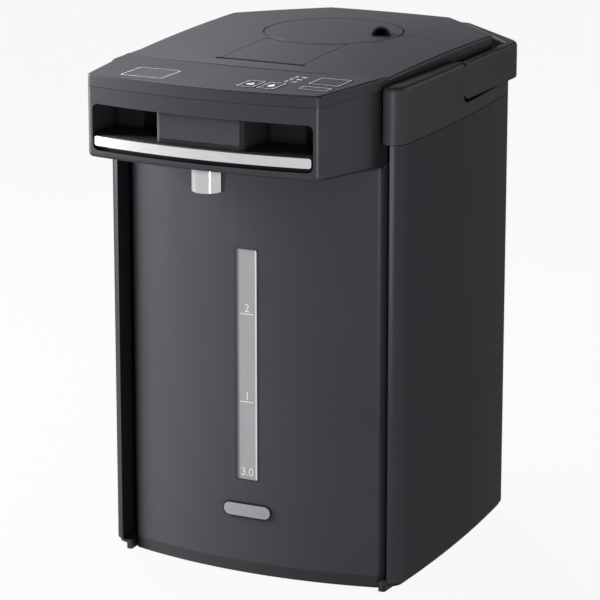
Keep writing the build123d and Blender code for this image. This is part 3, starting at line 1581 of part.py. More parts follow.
# ---- Heater and electrics ----
def heater_plate():
    plate = pipe(heater_r, heater_hole_r, heater_bottom_z, vessel_bottom_z)
    return plate - post(outlet_r + 2.5, heater_bottom_z - 1, vessel_bottom_z + 1, 0, outlet_y)


def heater_cover():
    """The steel dish that holds the heater against the vessel."""
    outer = heater_r + 2.5
    cover = post(outer, heater_cover_bottom_z, vessel_bottom_z)
    cover -= post(outer - heater_cover_sheet, heater_cover_bottom_z + heater_cover_sheet, vessel_bottom_z + 1)
    cover -= post(heater_hole_r, heater_cover_bottom_z - 1, vessel_bottom_z)
    return cover - post(outlet_r + 2.5, heater_cover_bottom_z - 1, vessel_bottom_z, 0, outlet_y)


def thermistor():
    """The sprung probe that reads the vessel's floor."""
    probe = post(probe_r, heater_cover_bottom_z - 6, vessel_bottom_z)
    return probe + pipe(heater_hole_r + 2, probe_r - 1, heater_cover_bottom_z - 2, heater_cover_bottom_z)


def thermostats():
    pair = Part()
    lug = 1.5 * thermostat_r
    low = heater_cover_bottom_z - thermostat_height
    for x in (-thermostat_x, thermostat_x):
        pair += post(thermostat_r, low, heater_cover_bottom_z, x, thermostat_y)
        pair += block(
            x - lug, x + lug, thermostat_y - 2, thermostat_y + 2,
            heater_cover_bottom_z - 1.2, heater_cover_bottom_z
        )
    return pair


def vessel_support():
    """The steel ring on the base's four bosses, under the heater's cover."""
    outer = heater_r + 2.5
    ring = pipe(outer, outer - support_width, support_z, heater_cover_bottom_z)
    for x, y in support_points():
        ring += post(boss_r + 1.5, support_z, heater_cover_bottom_z, x, y)
    return ring


def power_board():
    """The power circuit on the base's floor."""
    x0, y0 = board_corner_x, board_corner_y
    x1, y1 = x0 + board_width, y0 + board_length
    low = base_floor_top_z + board_rise
    top = low + board_thickness
    high = top + transformer_height
    board = block(x0, x1, y0, y1, low, top)
    board += block(x0 + 6, x0 + 6 + transformer_width, y0 + 8, y0 + 8 + 1.1 * transformer_width, top, high)
    board += block(x1 - 14, x1 - 4, y0 + 10, y1 - 20, top, top + 0.7 * transformer_height)
    for x in (x0 + 4, x1 - 4):
        for y in (y0 + 4, y1 - 4):
            board += post(3.0, base_floor_top_z, low, x, y)
    board += post(6.0, top, high - 2, x0 + 16, y1 - 18)
    return board


def inlet_solid(shrink, back, front):
    """The inlet's box, from the depth of its back to the outside."""
    half = inlet_half_width - 0.2 - shrink
    low = inlet_bottom_z + 0.2 + shrink
    high = inlet_bottom_z + inlet_height - 0.2 - shrink
    return block(-half, half, back, front, low, high)


def inlet_housing():
    """The socket for the magnetic plug, recessed in the back."""
    face_y = rear_middle_y + 0.3
    back = rear_middle_y - inlet_depth
    housing = inlet_solid(0, back, face_y)
    flange = inlet_solid(-inlet_flange, face_y - 0.2, face_y + inlet_proud)
    housing += flange
    housing -= inlet_solid(inlet_wall, back + inlet_wall, face_y + 5)
    return housing


def inlet_contacts():
    """Two contact pins and the steel pads that the plug's magnets hold."""
    back = rear_middle_y - inlet_depth + inlet_wall
    middle_z = inlet_bottom_z + inlet_height / 2
    parts = Part()
    for s in (-1, 1):
        pin = Pos(s * contact_spacing / 2, back + contact_length / 2, middle_z) * Rot(90, 0, 0) * Cylinder(
            contact_r, contact_length
        )
        parts += pin
        x = s * magnet_pad_spacing / 2
        half = magnet_pad_width / 2
        half_height = magnet_pad_height / 2
        parts += block(
            x - half, x + half, back, back + magnet_pad_thickness,
            middle_z - half_height, middle_z + half_height
        )
    return parts


# ---- Write the parts ----
def main():
    os.makedirs("parts", exist_ok=True)
    shell = body_shell()
    parts = {
        "base_cover": base_cover(),
        "foot_ring": foot_ring(),
        "side_panel_left": side_panel(shell, -1),
        "side_panel_right": side_panel(shell, 1),
        "rear_panel": rear_panel(shell),
        "front_frame": front_frame(),
        "front_panel": front_panel(),
        "gauge_lens": gauge_lens(),
        "gauge_channel": gauge_channel(),
        "gauge_tube": gauge_tube(),
        "badge_plate": badge_plate(),
        "inner_vessel": inner_vessel(),
        "outer_vessel": outer_vessel(),
        "neck_packing": neck_packing(),
        "top_frame": top_frame(),
        "hinge_pins": hinge_pins(),
        "head_housing": head_housing(),
        "recess_liner": recess_liner(),
        "spout_cover": spout_cover(),
        "trim_bar": trim_bar(),
        "nozzle_sleeve": nozzle_sleeve(),
        "nozzle_tube": nozzle_tube(),
        "spout_pipe": spout_pipe(),
        "spill_valve": spill_valve(),
        "spill_valve_ball": spill_valve_ball(),
        "control_panel": control_panel(),
        "display_lens": display_lens(),
        "indicator_lenses": indicator_lenses(),
        "control_board": control_board(),
        "handle": handle(),
        "handle_pins": handle_pins(),
        "lid_cover": lid_cover(),
        "lid_case": lid_case(),
        "lid_insulation": lid_insulation(),
        "inner_lid_plate": inner_lid_plate(),
        "lid_packing": lid_packing(),
        "steam_tube": steam_tube(),
        "steam_cap": steam_cap(),
        "steam_cap_base": steam_cap_base(),
        "steam_seal": steam_seal(),
        "lid_lever": lid_lever(),
        "latch_slide": latch_slide(),
        "pump_housing": pump_housing(),
        "pump_impeller": pump_impeller(),
        "drive_magnet": drive_magnet(),
        "pump_motor": pump_motor(),
        "suction_sleeve": suction_sleeve(),
        "outlet_elbow": outlet_elbow(),
        "heater_plate": heater_plate(),
        "heater_cover": heater_cover(),
        "thermistor": thermistor(),
        "thermostats": thermostats(),
        "vessel_support": vessel_support(),
        "power_board": power_board(),
        "inlet_housing": inlet_housing(),
        "inlet_contacts": inlet_contacts(),
    }
    for name, frame in key_frames().items():
        parts[name] = control_key(frame)
    for name, shape in parts.items():
        write(name, shape)


main()
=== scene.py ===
import math

import bpy
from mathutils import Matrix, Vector


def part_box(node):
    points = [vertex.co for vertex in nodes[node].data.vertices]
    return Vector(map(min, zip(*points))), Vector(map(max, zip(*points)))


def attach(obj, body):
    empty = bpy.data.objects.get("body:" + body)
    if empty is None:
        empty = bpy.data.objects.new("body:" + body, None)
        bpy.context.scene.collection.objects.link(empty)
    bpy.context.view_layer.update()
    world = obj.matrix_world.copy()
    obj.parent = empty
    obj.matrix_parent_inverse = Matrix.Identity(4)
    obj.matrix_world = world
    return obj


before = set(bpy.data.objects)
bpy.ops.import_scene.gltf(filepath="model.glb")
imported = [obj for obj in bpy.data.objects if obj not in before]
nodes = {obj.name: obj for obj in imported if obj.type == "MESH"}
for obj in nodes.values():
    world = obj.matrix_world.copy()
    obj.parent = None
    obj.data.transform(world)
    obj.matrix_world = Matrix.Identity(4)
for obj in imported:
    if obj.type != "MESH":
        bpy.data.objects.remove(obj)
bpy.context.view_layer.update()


# ---- Shader nodes ----
def connect(tree, node, values):
    """Link each named input of a node to a socket, or set it to a value."""
    for slot, value in values.items():
        if isinstance(value, bpy.types.NodeSocket):
            tree.links.new(value, node.inputs[slot])
        else:
            node.inputs[slot].default_value = value


def add(tree, kind, values=None, **settings):
    """A new node with its settings and its inputs."""
    node = tree.nodes.new(kind)
    for setting, value in settings.items():
        setattr(node, setting, value)
    connect(tree, node, values or {})
    return node


def new_group(name, inputs):
    """A node group with named inputs, which puts out Color, Roughness and Normal."""
    group = bpy.data.node_groups.new(name, "ShaderNodeTree")
    for label, value in inputs.items():
        kind = "NodeSocketFloat" if isinstance(value, float) else "NodeSocketColor"
        socket = group.interface.new_socket(label, in_out="INPUT", socket_type=kind)
        socket.default_value = value
    group.interface.new_socket("Color", in_out="OUTPUT", socket_type="NodeSocketColor")
    group.interface.new_socket("Roughness", in_out="OUTPUT", socket_type="NodeSocketFloat")
    group.interface.new_socket("Normal", in_out="OUTPUT", socket_type="NodeSocketVector")
    entry = group.nodes.new("NodeGroupInput")
    leave = group.nodes.new("NodeGroupOutput")
    return group, entry.outputs, leave


def finish_group(group, leave, color, rough, bump):
    """Lead a group's colour, roughness and bump to its outputs."""
    results = {"Color": color, "Roughness": rough.outputs[0], "Normal": bump.outputs["Normal"]}
    connect(group, leave, results)


gap_shade_reach = 0.004   # painted shade darkens the colour in gaps narrower than this


def surface_group():
    """Moulded or coated surface: fine grain, soft drift and painted shade in gaps."""
    inputs = {
        "Color": (0.1, 0.1, 0.1, 1),
        "Drift": 0.06,
        "Roughness": 0.4,
        "Roughness drift": 0.05,
        "Grain size": 2500.0,
        "Grain": 0.05,
    }
    group, entry, leave = new_group("moulded_surface", inputs)
    place = add(group, "ShaderNodeTexCoord").outputs["Object"]
    cloud = add(group, "ShaderNodeTexNoise", {"Vector": place, "Scale": 14.0, "Detail": 4.0})
    cloud_range = {"From Min": 0.3, "From Max": 0.7, "To Min": -0.5, "To Max": 0.5}
    swing = add(group, "ShaderNodeMapRange", {"Value": cloud.outputs["Fac"], **cloud_range}).outputs["Result"]
    share = add(group, "ShaderNodeMath", {0: swing, 1: entry["Drift"], 2: 1.0}, operation="MULTIPLY_ADD")
    tint_values = {0: entry["Color"], "Scale": share.outputs[0]}
    tint = add(group, "ShaderNodeVectorMath", tint_values, operation="SCALE")
    # Painted shade: the colour is darkened in narrow gaps, where shade falls.
    gap_shade_values = {"Color": tint.outputs[0], "Distance": gap_shade_reach}
    shade = add(group, "ShaderNodeAmbientOcclusion", gap_shade_values, samples=8)
    rough_values = {0: swing, 1: entry["Roughness drift"], 2: entry["Roughness"]}
    rough = add(group, "ShaderNodeMath", rough_values, operation="MULTIPLY_ADD")
    grain = add(group, "ShaderNodeTexNoise", {"Vector": place, "Scale": entry["Grain size"], "Detail": 2.0})
    bump_values = {"Strength": entry["Grain"], "Distance": 0.0002, "Height": grain.outputs["Fac"]}
    bump = add(group, "ShaderNodeBump", bump_values)
    finish_group(group, leave, shade.outputs["Color"], rough, bump)
    return group


def brushed_group():
    """Fine straight scratches along X."""
    inputs = {"Color": (0.6, 0.6, 0.6, 1), "Roughness": 0.3, "Strength": 0.2}
    group, entry, leave = new_group("brushed_surface", inputs)
    scratch_density = (25.0, 4000.0, 4000.0)
    place = add(group, "ShaderNodeTexCoord").outputs["Object"]
    stretch = add(group, "ShaderNodeVectorMath", {0: place, 1: scratch_density}, operation="MULTIPLY")
    scratch_values = {"Vector": stretch.outputs[0], "Scale": 1.0, "Detail": 5.0}
    scratches = add(group, "ShaderNodeTexNoise", scratch_values).outputs["Fac"]
    shade_range = {"From Min": 0.25, "From Max": 0.75, "To Min": 0.86, "To Max": 1.08}
    shade = add(group, "ShaderNodeMapRange", {"Value": scratches, **shade_range}).outputs["Result"]
    tint = add(group, "ShaderNodeVectorMath", {0: entry["Color"], "Scale": shade}, operation="SCALE")
    rough_values = {0: scratches, 1: 0.15, 2: entry["Roughness"]}
    rough = add(group, "ShaderNodeMath", rough_values, operation="MULTIPLY_ADD")
    bump_values = {"Strength": entry["Strength"], "Distance": 0.0001, "Height": scratches}
    bump = add(group, "ShaderNodeBump", bump_values)
    finish_group(group, leave, tint.outputs[0], rough, bump)
    return group


moulded = surface_group()
brushed = brushed_group()


# ---- Materials ----
def material(name, group, color, metallic=0.0, extra=None, **values):
    """A material fed by one of the shared groups."""
    mat = bpy.data.materials.new(name)
    mat.use_nodes = True
    tree = mat.node_tree
    surface = add(tree, "ShaderNodeGroup", {"Color": (*color, 1)}, node_tree=group)
    for label, value in values.items():
        surface.inputs[label.replace("_", " ").capitalize()].default_value = value
    shader = tree.nodes["Principled BSDF"]
    connect(tree, shader, {
        "Base Color": surface.outputs["Color"],
        "Roughness": surface.outputs["Roughness"],
        "Normal": surface.outputs["Normal"],
        "Metallic": metallic,
        **(extra or {}),
    })
    return mat


def satin(sheen):
    """Shader values of a satin coat. The sheen is how bright it shines at a low angle."""
    return {"Specular IOR Level": 0.0, "Specular Tint": (sheen, sheen, sheen, 1)}


def see_through(share):
    """Shader values of a clear plastic that lets this share of the light pass."""
    return {"Transmission Weight": share, "IOR": 1.49}


shell = material(
    "satin_shell", moulded, (0.076, 0.072, 0.080), metallic=0.3, roughness=0.38, grain=0.10, extra=satin(0.45)
)
panel_satin = material(
    "satin_panel", moulded, (0.074, 0.070, 0.078), metallic=0.3, roughness=0.38, grain=0.06, extra=satin(0.45)
)
front = material(
    "coated_front", moulded, (0.072, 0.068, 0.077), metallic=0.3, roughness=0.36, grain=0.05, extra=satin(0.6)
)
head = material(
    "coated_head", moulded, (0.070, 0.066, 0.075), metallic=0.5, roughness=0.32, grain=0.05, extra=satin(0.45)
)
side = material(
    "coated_side", moulded, (0.050, 0.047, 0.053), metallic=0.6, roughness=0.32, grain=0.06, extra=satin(0.45)
)
dark = material(
    "dark_plastic", moulded, (0.042, 0.040, 0.044), roughness=0.45, grain=0.12,
    extra={"Specular IOR Level": 0.06},
)
# Black of the ring of painted shade round the gauge window.
shade_black = material("shade_black", moulded, (0.006, 0.006, 0.007), roughness=0.6, grain=0.05)
steel = material("plain_steel", moulded, (0.55, 0.55, 0.55), metallic=1.0, roughness=0.28, grain=0.05)
chrome = material("polished_chrome", moulded, (0.55, 0.55, 0.57), metallic=1.0, roughness=0.08, grain=0.0)
bar = material("brushed_bar", brushed, (0.62, 0.62, 0.63), metallic=1.0, roughness=0.30)
rubber = material("soft_rubber", moulded, (0.02, 0.02, 0.02), roughness=0.75, grain=0.2)
silicone = material("silicone", moulded, (0.60, 0.60, 0.57), roughness=0.5, grain=0.05)
channel = material("gauge_back", moulded, (0.62, 0.63, 0.65), roughness=0.45, grain=0.05)
lamp_lens = material(
    "lamp_lens", moulded, (0.42, 0.41, 0.38), roughness=0.25, grain=0.0, extra=see_through(0.25)
)
inner = material("inner_plastic", moulded, (0.55, 0.55, 0.53), roughness=0.5, grain=0.06)
board = material("circuit_board", moulded, (0.03, 0.14, 0.06), roughness=0.5)
foam = material("foam", moulded, (0.8, 0.8, 0.78), roughness=0.9, grain=0.5)
badge = material("satin_badge", brushed, (0.33, 0.33, 0.34), metallic=0.8, roughness=0.34)
contact = material("plated_contact", moulded, (0.70, 0.52, 0.22), metallic=1.0, roughness=0.25)
clear = material(
    "clear_plastic", moulded, (0.75, 0.77, 0.78), roughness=0.12, grain=0.0, extra=see_through(0.9)
)
window = material(
    "display_window", moulded, (0.086, 0.087, 0.092), metallic=0.3, roughness=0.36, grain=0.0,
    extra=satin(0.45),
)
gauge_glass = material(
    "gauge_window", moulded, (0.45, 0.45, 0.47), roughness=0.16, grain=0.0, extra=see_through(0.25)
)
print_white = material("printed_white", moulded, (0.72, 0.72, 0.73), roughness=0.5, grain=0.0)


def object_places(tree):
    """X, Y and Z of a point in the object's own coordinates."""
    coords = add(tree, "ShaderNodeTexCoord")
    return add(tree, "ShaderNodeSeparateXYZ", {0: coords.outputs["Object"]}).outputs


def rising(tree, value, start, end):
    """A mask that rises from 0 to 1 while the value goes from start to end."""
    ramp = add(tree, "ShaderNodeMapRange", {"Value": value, "From Min": start, "From Max": end})
    return ramp.outputs["Result"]


def recolour(mat, mask, low=None, high=None):
    """Lay another colour over the material's own where the mask is 0 (low) or 1 (high)."""
    tree = mat.node_tree
    shader = tree.nodes["Principled BSDF"]
    own = shader.inputs["Base Color"].links[0].from_socket
    colors = {"A": (*low, 1) if low else own, "B": (*high, 1) if high else own}
    mix = add(tree, "ShaderNodeMix", {"Factor": mask, **colors}, data_type="RGBA")
    connect(tree, shader, {"Base Color": mix.outputs["Result"]})


def pill_edge(tree, middle_z, end_x, line_r, fade):
    """A mask that is 1 outside a round-ended outline."""
    def worked_out(operation, *values):
        return add(tree, "ShaderNodeMath", dict(enumerate(values)), operation=operation).outputs[0]

    places = object_places(tree)
    across = worked_out("ABSOLUTE", places["X"])
    past_end = worked_out("MAXIMUM", worked_out("SUBTRACT", across, end_x), 0.0)
    rise = worked_out("SUBTRACT", places["Z"], middle_z)
    squares = worked_out("ADD", worked_out("POWER", past_end, 2.0), worked_out("MULTIPLY", rise, rise))
    return rising(tree, worked_out("SQRT", squares), line_r, line_r + fade)


# Painted shade: the front panel's colour is darker at its turned-in foot.
foot_shade_z = 0.0092
foot_shade_end_z = 0.0104
foot_shade_mask = rising(front.node_tree, object_places(front.node_tree)["Z"], foot_shade_z, foot_shade_end_z)
recolour(front, foot_shade_mask, low=(0.050, 0.048, 0.052))

# The badge is bare, with a dark line round its edge.
badge_middle_z = 0.044
badge_end_x = 0.0123
badge_line_r = 0.0040
badge_line_fade = 0.0002
badge_mask = pill_edge(badge.node_tree, badge_middle_z, badge_end_x, badge_line_r, badge_line_fade)
recolour(badge, badge_mask, high=(0.012, 0.012, 0.013))

# The gauge window: a milky strip, with a painted highlight on its right edge and painted shade on its left
# one.
left_shade_x = (-0.0056, -0.0050)
right_highlight_x = (0.0059, 0.0064)
# Painted shade: the left edge is darkened.
left_shade_mask = rising(gauge_glass.node_tree, object_places(gauge_glass.node_tree)["X"], *left_shade_x)
recolour(gauge_glass, left_shade_mask, low=(0.24, 0.24, 0.25))
# Painted highlight: the right edge is lightened to near white.
right_highlight_mask = rising(gauge_glass.node_tree, object_places(gauge_glass.node_tree)["X"], *right_highlight_x)
recolour(gauge_glass, right_highlight_mask, high=(0.92, 0.92, 0.93))

paint = {
    shell: "top_frame handle lid_cover lid_lever steam_cap spout_cover",
    panel_satin: "control_panel unlock_key dispense_key warm_key boil_key",
    front: "front_panel",
    head: "head_housing",
    side: "side_panel_left side_panel_right rear_panel front_frame",
    dark: "base_cover recess_liner nozzle_tube inlet_housing",
    steel: "inner_vessel outer_vessel hinge_pins handle_pins spill_valve_ball "
    "heater_cover vessel_support inner_lid_plate pump_motor drive_magnet heater_plate thermostats",
    chrome: "nozzle_sleeve",
    bar: "trim_bar",
    rubber: "foot_ring",
    silicone: "neck_packing lid_packing steam_seal suction_sleeve outlet_elbow spout_pipe",
    channel: "gauge_channel",
    lamp_lens: "indicator_lenses",
    inner: "lid_case spill_valve latch_slide steam_tube steam_cap_base pump_housing pump_impeller thermistor",
    board: "control_board power_board",
    foam: "lid_insulation",
    badge: "badge_plate",
    contact: "inlet_contacts",
    gauge_glass: "gauge_lens",
    clear: "gauge_tube",
    window: "display_lens",
}
for mat, names in paint.items():
    for name in names.split():
        mesh = nodes[name].data
        mesh.materials.clear()
        mesh.materials.append(mat)

# ---- How the small pieces are made ----
upright = (math.pi / 2, 0, 0)   # a flat piece turned to face the front
flat = (0, 0, 0)
face_down = (math.pi, 0, 0)

print_thickness = 0.00004
print_lift = 0.00003
digit_share = 0.70   # a digit's height, as a share of its text's size


def start_fresh():
    """Leave edit mode with nothing selected."""
    if bpy.context.object and bpy.context.object.mode != "OBJECT":
        bpy.ops.object.mode_set(mode="OBJECT")
    bpy.ops.object.select_all(action="DESELECT")


def named_piece(name):
    """The active object, with its name."""
    piece = bpy.context.object
    piece.name = piece.data.name = name
    return piece


def settle(piece, place, turn, mat, body):
    """Put a finished piece at its place, paint it and let it ride on its body."""
    piece.rotation_euler = turn
    piece.location = place
    bpy.ops.object.select_all(action="DESELECT")
    piece.select_set(True)
    bpy.context.view_layer.objects.active = piece
    bpy.ops.object.transform_apply(location=True, rotation=True, scale=True)
    piece.data.materials.clear()
    piece.data.materials.append(mat)
    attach(piece, body)


def thicken(thickness):
    """Raise the flat mesh in edit mode into a closed one, and leave edit mode."""
    bpy.ops.mesh.select_all(action="SELECT")
    bpy.ops.mesh.extrude_region_move(TRANSFORM_OT_translate={"value": (0, 0, thickness)})
    bpy.ops.mesh.select_all(action="SELECT")
    bpy.ops.mesh.normals_make_consistent(inside=False)
    bpy.ops.object.mode_set(mode="OBJECT")


def flat_plate(name, size, corner, thickness, border=None):
    """A thin plate with rounded corners, or only its border."""
    start_fresh()
    bpy.ops.mesh.primitive_plane_add(size=1)
    piece = named_piece(name)
    piece.scale = (*size, 1)
    bpy.ops.object.transform_apply(location=True, rotation=True, scale=True)
    bpy.ops.object.mode_set(mode="EDIT")
    bpy.ops.mesh.select_all(action="SELECT")
    bpy.ops.mesh.bevel(offset=corner, segments=5, affect="VERTICES")
    if border:
        bpy.ops.mesh.select_all(action="SELECT")
        bpy.ops.mesh.inset(thickness=border)
        bpy.ops.mesh.delete(type="FACE")
    thicken(thickness)
    return piece


def printed_plate(name, size, corner, place, body, turn=flat, border=None):
    """A flat patch of white print, or only its outline."""
    piece = flat_plate(name, size, corner, print_thickness, border)
    settle(piece, place, turn, print_white, body)


def printed_number(name, figure, height, place, turn=flat):
    """A plain printed number on the pot."""
    start_fresh()
    bpy.ops.object.text_add()
    text = bpy.context.object.data
    text.body = figure
    text.align_x = "CENTER"
    text.align_y = "CENTER"
    text.size = height / digit_share
    text.extrude = print_thickness
    bpy.ops.object.convert(target="MESH")
    settle(named_piece(name), place, turn, print_white, "pot")


def top_middle(node):
    """The middle of a node's top."""
    low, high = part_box(node)
    return (low.x + high.x) / 2, (low.y + high.y) / 2, high.z


# ---- Water gauge: a black ring of painted shade round the window, two level marks and three numbers ----
lens_low, lens_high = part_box("gauge_lens")
lens_middle = (lens_low + lens_high) / 2
print_y = lens_low.y - print_lift

shade_ring_width = 0.0010
shade_ring_corner = 0.0018
shade_ring_thickness = 0.0005
shade_ring_sink = 0.0002   # behind the window's face
shade_ring_size = (lens_high.x - lens_low.x + 2 * shade_ring_width, lens_high.z - lens_low.z + 2 * shade_ring_width)
# Painted shade: a black ring stands for the shadow in the gap round the window.
gauge_shade_ring = flat_plate("gauge_shade_ring", shade_ring_size, shade_ring_corner, shade_ring_thickness, border=shade_ring_width)
settle(gauge_shade_ring, (lens_middle.x, lens_low.y + shade_ring_sink, lens_middle.z), upright, shade_black, "pot")

litre_mark_z = {"1": 0.1160, "2": 0.1735}
litre_line_size = (0.0094, 0.0006)
litre_line_corner = 0.0001
number_height = 0.0052
number_rise = 0.0036   # over its line
number_shift = 0.0004
for figure, mark_z in litre_mark_z.items():
    line_place = (lens_middle.x, print_y, mark_z)
    number_place = (lens_middle.x + number_shift, print_y, mark_z + number_rise)
    printed_plate(f"level_line_{figure}", litre_line_size, litre_line_corner, line_place, "pot", upright)
    printed_number(f"level_number_{figure}", figure, number_height, number_place, upright)

full_number = "3.0"
full_number_z = 0.0695
full_number_shift = 0.0002
full_number_place = (lens_middle.x + full_number_shift, print_y, full_number_z)
printed_number("level_number_full", full_number, number_height, full_number_place, upright)

# ---- Control panel: printed frames on the keys and round the display, and simple signs ----
key_flange = 0.0012   # before and behind the key's cap
key_frame_inset = 0.0006
key_frame_corner = 0.0012
key_frame_line = 0.00035
for key in ("unlock_key", "dispense_key", "warm_key", "boil_key"):
    low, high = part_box(key)
    frame_width = high.x - low.x - 2 * key_frame_inset
    frame_depth = high.y - low.y - 2 * (key_flange + key_frame_inset)
    printed_plate(
        f"{key}_frame", (frame_width, frame_depth), key_frame_corner, top_middle(key), f"{key}_body",
        border=key_frame_line,
    )

display_frame_gap = 0.0011
display_frame_corner = 0.0014
display_frame_line = 0.0004
panel_top_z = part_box("control_panel")[1].z
low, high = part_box("display_lens")
display_x, display_y, _ = top_middle("display_lens")
display_frame_size = (high.x - low.x + 2 * display_frame_gap, high.y - low.y + 2 * display_frame_gap)
printed_plate(
    "display_frame", display_frame_size, display_frame_corner, (display_x, display_y, panel_top_z), "pot",
    border=display_frame_line,
)

lock_body_size = (0.0042, 0.0032)
lock_body_corner = 0.0005
lock_body_y = -0.0012   # from the key's middle
lock_bow_size = (0.0028, 0.0030)
lock_bow_corner = 0.0013
lock_bow_line = 0.0006
lock_bow_y = 0.0010
key_x, key_y, key_top_z = top_middle("unlock_key")
printed_plate(
    "lock_sign_body", lock_body_size, lock_body_corner, (key_x, key_y + lock_body_y, key_top_z),
    "unlock_key_body",
)
printed_plate(
    "lock_sign_bow", lock_bow_size, lock_bow_corner, (key_x, key_y + lock_bow_y, key_top_z),
    "unlock_key_body", border=lock_bow_line,
)

drop_r = 0.0022
drop_taper = 0.45   # how much its sides draw in towards the point
drop_draw = 1.2     # how far its point is drawn out
drop_y = -0.0008


def drop_sign(name, place, body):
    """A printed drop: a disc drawn out to a point."""
    start_fresh()
    bpy.ops.mesh.primitive_circle_add(vertices=24, radius=drop_r, fill_type="NGON")
    piece = named_piece(name)
    for vertex in piece.data.vertices:
        if vertex.co.y > 0:
            vertex.co.x *= 1 - drop_taper * (vertex.co.y / drop_r)
            vertex.co.y += drop_draw * vertex.co.y**2 / drop_r
    bpy.ops.object.mode_set(mode="EDIT")
    thicken(print_thickness)
    settle(piece, place, flat, print_white, body)


key_x, key_y, key_top_z = top_middle("dispense_key")
drop_sign("drop_sign_key", (key_x, key_y + drop_y, key_top_z), "dispense_key_body")

# Numbers beside the three temperature lamps.
lamp_r = 0.0023
lamp_number_height = 0.0026
lamp_number_gap = 0.0042
low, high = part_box("indicator_lenses")
lamp_pitch = (high.y - low.y - 2 * lamp_r) / 2
for step, figure in enumerate(("60", "80", "98")):
    lamp_y = low.y + lamp_r + step * lamp_pitch
    place = (high.x + lamp_number_gap, lamp_y, panel_top_z)
    printed_number(f"lamp_number_{figure}", figure, lamp_number_height, place)

# ---- Underside: four screws that hold the base to the bosses ----
boss_circle_r = 0.0715
screw_head_r = 0.0034
screw_head_height = 0.0010
screw_crown_width = 0.0012
screw_crown_rise = 0.0003
screw_recess_width = 0.0010
screw_recess_depth = 0.0006
screw_seat = 0.0004   # how far the head's middle stands below the base
up_facing = 0.9


def screw_head():
    """A pan head with a round recess."""
    start_fresh()
    bpy.ops.mesh.primitive_cylinder_add(vertices=24, radius=screw_head_r, depth=screw_head_height)
    piece = named_piece("screw_head")
    bpy.ops.object.mode_set(mode="EDIT")
    bpy.ops.mesh.select_all(action="DESELECT")
    bpy.ops.object.mode_set(mode="OBJECT")
    for face in piece.data.polygons:
        face.select = face.normal.z > up_facing
    bpy.ops.object.mode_set(mode="EDIT")
    bpy.ops.mesh.inset(thickness=screw_crown_width, depth=screw_crown_rise)
    bpy.ops.mesh.inset(thickness=screw_recess_width, depth=-screw_recess_depth)
    bpy.ops.object.mode_set(mode="OBJECT")
    return piece


def own_copy(piece, name):
    """A copy of a piece with its own mesh."""
    twin = piece.copy()
    twin.data = piece.data.copy()
    twin.name = twin.data.name = name
    bpy.context.collection.objects.link(twin)
    return twin


screw = screw_head()
screw_place = boss_circle_r * math.sqrt(0.5)
screw_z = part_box("base_cover")[0].z - screw_seat
for side_word, x in (("left", -screw_place), ("right", screw_place)):
    for end_word, y in (("front", -screw_place), ("rear", screw_place)):
        twin = own_copy(screw, f"base_screw_{end_word}_{side_word}")
        settle(twin, (x, y, screw_z), face_down, steel, "pot")
bpy.data.objects.remove(screw)

# ---- Stage ----
floor_span = 12
floor_color = (0.22, 0.22, 0.22, 1)
floor_glow_share = 0.93
air_color = (0.065, 0.065, 0.068, 1)
backdrop_color = (1.0, 1.0, 1.0, 1)
backdrop_top = 0.30    # the backdrop fades out at this height of the sky
backdrop_full = 0.12   # and is full below this one


def seen_ray(tree):
    """1 for a ray that shows the background: straight, mirrored or through glass."""
    path = add(tree, "ShaderNodeLightPath").outputs
    two_kinds = {0: path["Is Camera Ray"], 1: path["Is Glossy Ray"]}
    either = add(tree, "ShaderNodeMath", two_kinds, operation="MAXIMUM").outputs[0]
    third_kind = {0: either, 1: path["Is Transmission Ray"]}
    return add(tree, "ShaderNodeMath", third_kind, operation="MAXIMUM").outputs[0]


def pale_floor():
    """A plain floor that shows nearly white and keeps the object's shadow."""
    bpy.ops.mesh.primitive_plane_add(size=floor_span, location=(0, 0, 0))
    floor = bpy.context.object
    floor.name = "floor"
    mat = bpy.data.materials.new("pale_floor")
    mat.use_nodes = True
    tree = mat.node_tree
    shader = tree.nodes["Principled BSDF"]
    connect(tree, shader, {"Base Color": floor_color, "Roughness": 0.8})
    glow = add(tree, "ShaderNodeEmission")
    share = add(tree, "ShaderNodeMath", {0: seen_ray(tree), 1: floor_glow_share}, operation="MULTIPLY")
    blend_values = {"Fac": share.outputs[0], 1: shader.outputs["BSDF"], 2: glow.outputs["Emission"]}
    blend = add(tree, "ShaderNodeMixShader", blend_values)
    connect(tree, tree.nodes["Material Output"], {"Surface": blend.outputs["Shader"]})
    floor.data.materials.append(mat)


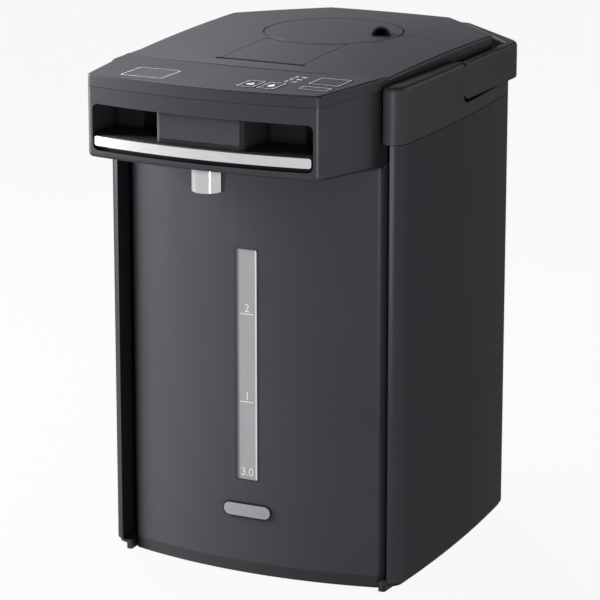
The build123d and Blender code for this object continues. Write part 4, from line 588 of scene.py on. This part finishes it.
def studio_air():
    """Even grey light, and a white backdrop low round the scene for the rays that show it."""
    world = bpy.data.worlds.new("studio")
    bpy.context.scene.world = world
    world.use_nodes = True
    tree = world.node_tree
    coords = add(tree, "ShaderNodeTexCoord")
    height = add(tree, "ShaderNodeSeparateXYZ", {0: coords.outputs["Generated"]}).outputs["Z"]
    low_sky = rising(tree, height, backdrop_top, backdrop_full)
    share = add(tree, "ShaderNodeMath", {0: low_sky, 1: seen_ray(tree)}, operation="MULTIPLY")
    colors = {"Factor": share.outputs[0], "A": air_color, "B": backdrop_color}
    mix = add(tree, "ShaderNodeMix", colors, data_type="RGBA")
    connect(tree, tree.nodes["Background"], {"Color": mix.outputs["Result"]})


def turned_to(aim, place):
    """The turn that points a lamp or a camera at its aim."""
    return (Vector(aim) - Vector(place)).to_track_quat("-Z", "Y").to_euler()


def light(name, place, aim, width, height, power):
    """A soft rectangular lamp that the camera doesn't see."""
    data = bpy.data.lights.new(name, "AREA")
    data.shape = "RECTANGLE"
    data.size = width
    data.size_y = height
    data.energy = power
    lamp = bpy.data.objects.new(name, data)
    bpy.context.collection.objects.link(lamp)
    lamp.location = place
    lamp.visible_camera = False
    lamp.rotation_euler = turned_to(aim, place)


def view_from(eye, aim, lens):
    """The camera, at the eye and turned to the aim."""
    data = bpy.data.cameras.new("camera")
    data.lens = lens
    data.sensor_width = 36.0
    camera = bpy.data.objects.new("camera", data)
    bpy.context.collection.objects.link(camera)
    camera.location = eye
    camera.rotation_euler = turned_to(aim, eye)
    bpy.context.scene.camera = camera


pale_floor()
studio_air()
light("key_left", (-1.14, -0.32, 0.50), aim=(0, -0.05, 0.20), width=0.45, height=0.8, power=54)
light("back_left", (-0.62, 0.58, 0.92), aim=(0, 0, 0.3), width=0.5, height=0.35, power=13)
light("corner_strip", (0.42, -0.70, 0.29), aim=(0, -0.05, 0.29), width=0.03, height=0.54, power=1.7)
light("right_fill", (1.0, 1.3, 0.8), aim=(0, 0, 0.17), width=0.8, height=0.8, power=6)
view_from(eye=(0.8903, -1.8274, 0.7077), aim=(-0.0121, -0.0120, 0.1569), lens=192.25)
bpy.context.scene.view_settings.view_transform = "Standard"
